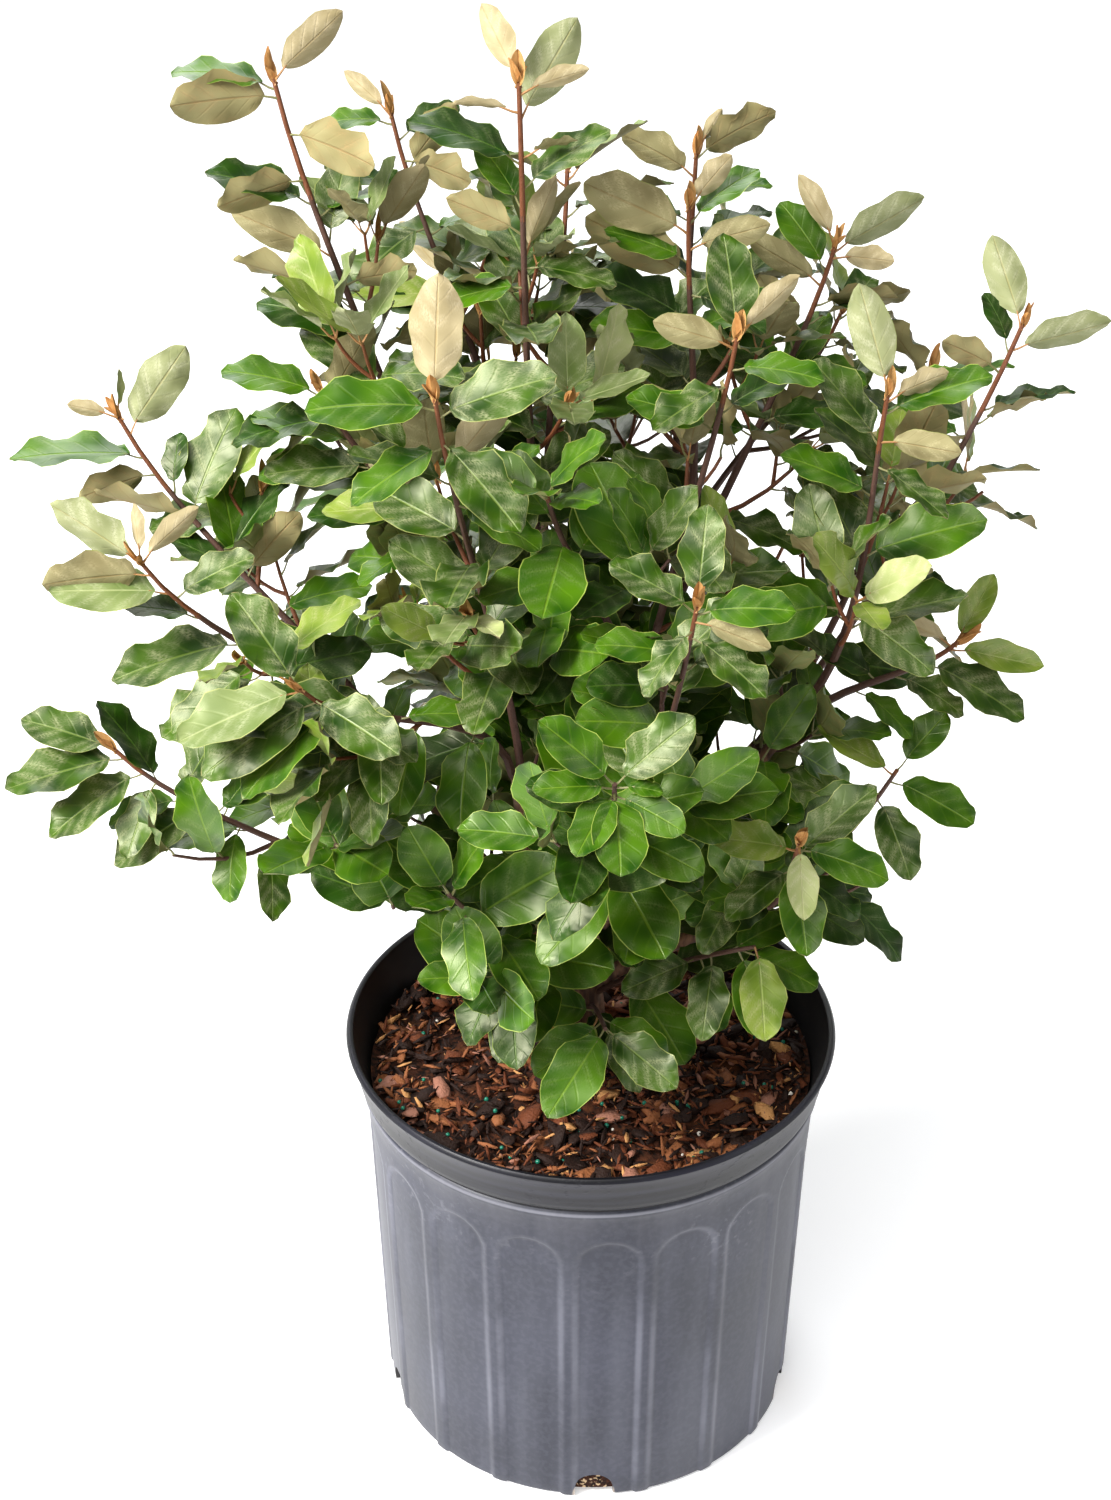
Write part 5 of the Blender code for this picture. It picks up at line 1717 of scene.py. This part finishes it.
print("with buds:", len(placed_leaves))

# %% [markdown]
# ## Finish of the leaves
#
# The pattern of a leaf has to follow it, so it reads the leaf's own pattern coordinates: across
# from margin to margin, and along from stalk to tip. Every leaf of a kind shares a few cells,
# one for each look and side, so the pattern stays crisp however many leaves there are. The
# base colours are plain and dealt out by kind. On them lie a pale midrib, side veins that lean
# to the tip, a thin pale margin, and silvery scurf, thickest along the side veins. The wax on
# the leaf gives its highlights a little warmth.

# %% A leaf finish
WAX_TINT = (1.0, 1.0, 0.72, 1.0)


def leaf_finish(name, deep, light, vein, margin, scurf, scurf_share, gloss, shine=0.5, vein_share=0.09):
    deep, light, vein, margin, scurf = (rgb(*colour) for colour in (deep, light, vein, margin, scurf))
    finish = Finish(name, Specular_IOR_Level=shine, Specular_Tint=WAX_TINT)
    place = finish.node("ShaderNodeUVMap", {"uv_map": "OFBake"})
    u = finish.part(place, 0) * float(LEAF_LOOKS)
    v = finish.part(place, 1) * 2.0
    across = abs(u.fraction() - 0.5) * (2.0 / CELL_SPREAD)
    along = (v.fraction() - CELL_INSET) / CELL_SPREAD
    midrib = 1.0 - across.step(0.01, 0.07)
    phase = (along - across * 0.20) * 7.0
    ridge = 1.0 - abs(phase.fraction() - 0.5).step(0.01, 0.12)
    ridge = ridge * (1.0 - across.step(0.66, 0.92))
    stretch = (LEAF_LOOKS / 4.0, 1.0, 1.0)
    broad = finish.noise(place, 6.0, 1.0, stretch)
    fine = finish.noise(place, 60.0, 3.0, stretch)
    speck = finish.noise(place, 90.0, 4.0, (LEAF_LOOKS / 2.0, 1.0, 1.0))
    patch = finish.noise(place, 8.0, 1.0, stretch)
    colour = finish.mix(broad.step(0.28, 0.72), deep, light)
    colour = finish.mix(ridge * vein_share, colour, vein)
    colour = finish.mix(midrib * 0.5, colour, vein)
    feather = 1.0 - abs(phase.fraction() - 0.5).step(0.04, 0.44) * 0.7
    dust = speck.step(0.30, 0.66) * patch.step(0.36, 0.60) * feather * scurf_share
    colour = finish.mix(dust, colour, scurf)
    colour = finish.mix(across.step(0.955, 0.99) * 0.75, colour, margin)
    finish.feed("Base Color", colour)
    finish.feed("Roughness", gloss + dust * 0.25 + fine * 0.10)
    finish.bump(broad * 1.7 - ridge * 0.12 - midrib * 0.4, 0.0009, 0.6)
    return finish


print("looks of a leaf:", LEAF_LOOKS)

# %% Colours of the leaves
# base deep and light, vein, margin and scurf, then the scurf's share, gloss, shine and the veins' share
UPPER_SIDES = {
    "bud": ((168, 120, 66), (188, 144, 90), (164, 108, 50), (208, 168, 108), (212, 176, 116), 0.4, 0.6, 0.25),
    "cream": ((140, 152, 88), (172, 180, 120), (192, 192, 140), (182, 180, 118), (200, 196, 160), 0.6, 0.4),
    "pale": ((94, 114, 56), (124, 138, 82), (176, 184, 128), (176, 180, 110), (180, 184, 146), 0.45, 0.36),
    "olive": ((86, 114, 24), (126, 146, 50), (152, 166, 86), (164, 166, 90), (170, 168, 122), 0.5, 0.3),
    "silver": ((20, 52, 3), (58, 90, 8), (120, 142, 62), (164, 170, 96), (152, 156, 116), 0.64, 0.3),
    "bright": ((28, 70, 1), (68, 108, 5), (114, 146, 34), (172, 188, 88), (150, 162, 110), 0.2, 0.28, 0.45),
    "deep": ((12, 38, 1), (30, 66, 3), (76, 112, 28), (130, 150, 60), (134, 144, 100), 0.25, 0.3, 0.42),
}
TAN_BACK = ((160, 130, 90), 0.4, 0.56, 0.25, 0.05)
UNDER_SIDES = {
    "bud": ((160, 104, 54), (182, 132, 78), (156, 96, 44), (202, 152, 92), (210, 170, 108), 0.4, 0.65, 0.25),
    "cream": ((148, 134, 98), (172, 158, 122), (164, 138, 88), (150, 146, 90), (198, 184, 152),
              0.6, 0.52, 0.25, 0.05),
    "pale": ((120, 126, 84), (146, 150, 108), (150, 140, 84), (128, 138, 76), (186, 186, 156),
             0.6, 0.52, 0.25, 0.06),
    "olive": ((124, 114, 78), (148, 140, 100), (134, 108, 64), (132, 140, 70), (188, 178, 136),
              0.5, 0.54, 0.25, 0.05),
    "silver": ((128, 118, 78), (150, 142, 100), (130, 100, 60), (138, 130, 74), *TAN_BACK),
    "bright": ((104, 112, 62), (128, 134, 84), (136, 136, 72), (150, 158, 84), *TAN_BACK),
    "deep": ((108, 104, 58), (132, 124, 78), (118, 98, 54), (130, 124, 68), *TAN_BACK),
}
leaf_finishes = {
    kind: (leaf_finish(kind + "_upper", *UPPER_SIDES[kind]), leaf_finish(kind + "_under", *UNDER_SIDES[kind]))
    for kind in UPPER_SIDES}
print("leaf finishes:", 2 * len(leaf_finishes))

# %% Join the leaves by kind
for kind, sides in leaf_finishes.items():
    copies = [(leaf_models[model], matrix, look, 0)
              for leaf_kind, model, matrix, look, mass in placed_leaves if leaf_kind == kind]
    piece = joined_copies("leaves_" + kind, copies, LEAF_LOOKS)
    dress(piece, *sides)
    smooth(piece, 65.0)
    hand_over(piece, list(MASSES) if kind == "deep" else ())
    print(piece.name, "triangles:", sum(len(face.vertices) - 2 for face in piece.data.polygons))

# %% [markdown]
# ## Stems, twigs and stalks
#
# The wood of this year is orange-brown and scurfy, and older wood is dark brown. The stems turn
# from one to the other part of the way up, so each stem is laid as two tubes, end in end. A
# twig that found no room for a leaf is left out, except among the young tips.

# %% Lay the twigs
STEM_STEP = 0.012
YOUNG_SHARE = 0.28
YOUNG_WOOD = 0.45
BARE_TIPS = 0.6


def twig_finish(name, colour, roughness):
    finish = Finish(name, Base_Color=colour, Roughness=roughness)
    finish.bump(finish.noise(finish.object_place(), 900.0, 3.0), 0.0006, 0.7)
    return finish


old_lines = []
young_lines = []
for name, stem in stems.items():
    age = MASSES[name][4]
    turn_share = 1.0 - YOUNG_SHARE * age
    count = max(6, round(stem.length / STEM_STEP))
    old_lines.append(limb_line(stem, count, 0.0, min(1.0, turn_share + 0.01)))
    if turn_share < 1.0:
        young_lines.append(limb_line(stem, count, turn_share, 1.0))
    carriers = leafy | {key[0] for key, spur in spurs[name] if key in leafy}
    for key, shoot in twigs[name] + spurs[name]:
        if key in carriers or age >= BARE_TIPS:
            (young_lines if age > YOUNG_WOOD else old_lines).append(limb_line(shoot, 5))
old_lines += [limb_line(spur, 5) for key, spur in bough_spurs if key in leafy]
pale_lines = [line for kind, line in stalk_lines if kind in ("bud", "cream", "pale", "olive")]
green_lines = [line for kind, line in stalk_lines if kind in ("silver", "bright", "deep")]
WOOD = {
    "old_twigs": (old_lines, 6, "twig_brown", rgb(78, 50, 38), 0.7),
    "young_twigs": (young_lines, 6, "twig_orange", rgb(108, 58, 26), 0.65),
    "pale_stalks": (pale_lines, 4, "pale_stalks_finish", rgb(158, 114, 66), 0.6),
    "green_stalks": (green_lines, 4, "green_stalks_finish", rgb(120, 118, 72), 0.6),
}
for name, (lines, sides, finish_name, colour, roughness) in WOOD.items():
    piece = tubes(name, lines, sides)
    dress(piece, twig_finish(finish_name, colour, roughness))
    smooth(piece, 60.0)
    hand_over(piece)

# %% [markdown]
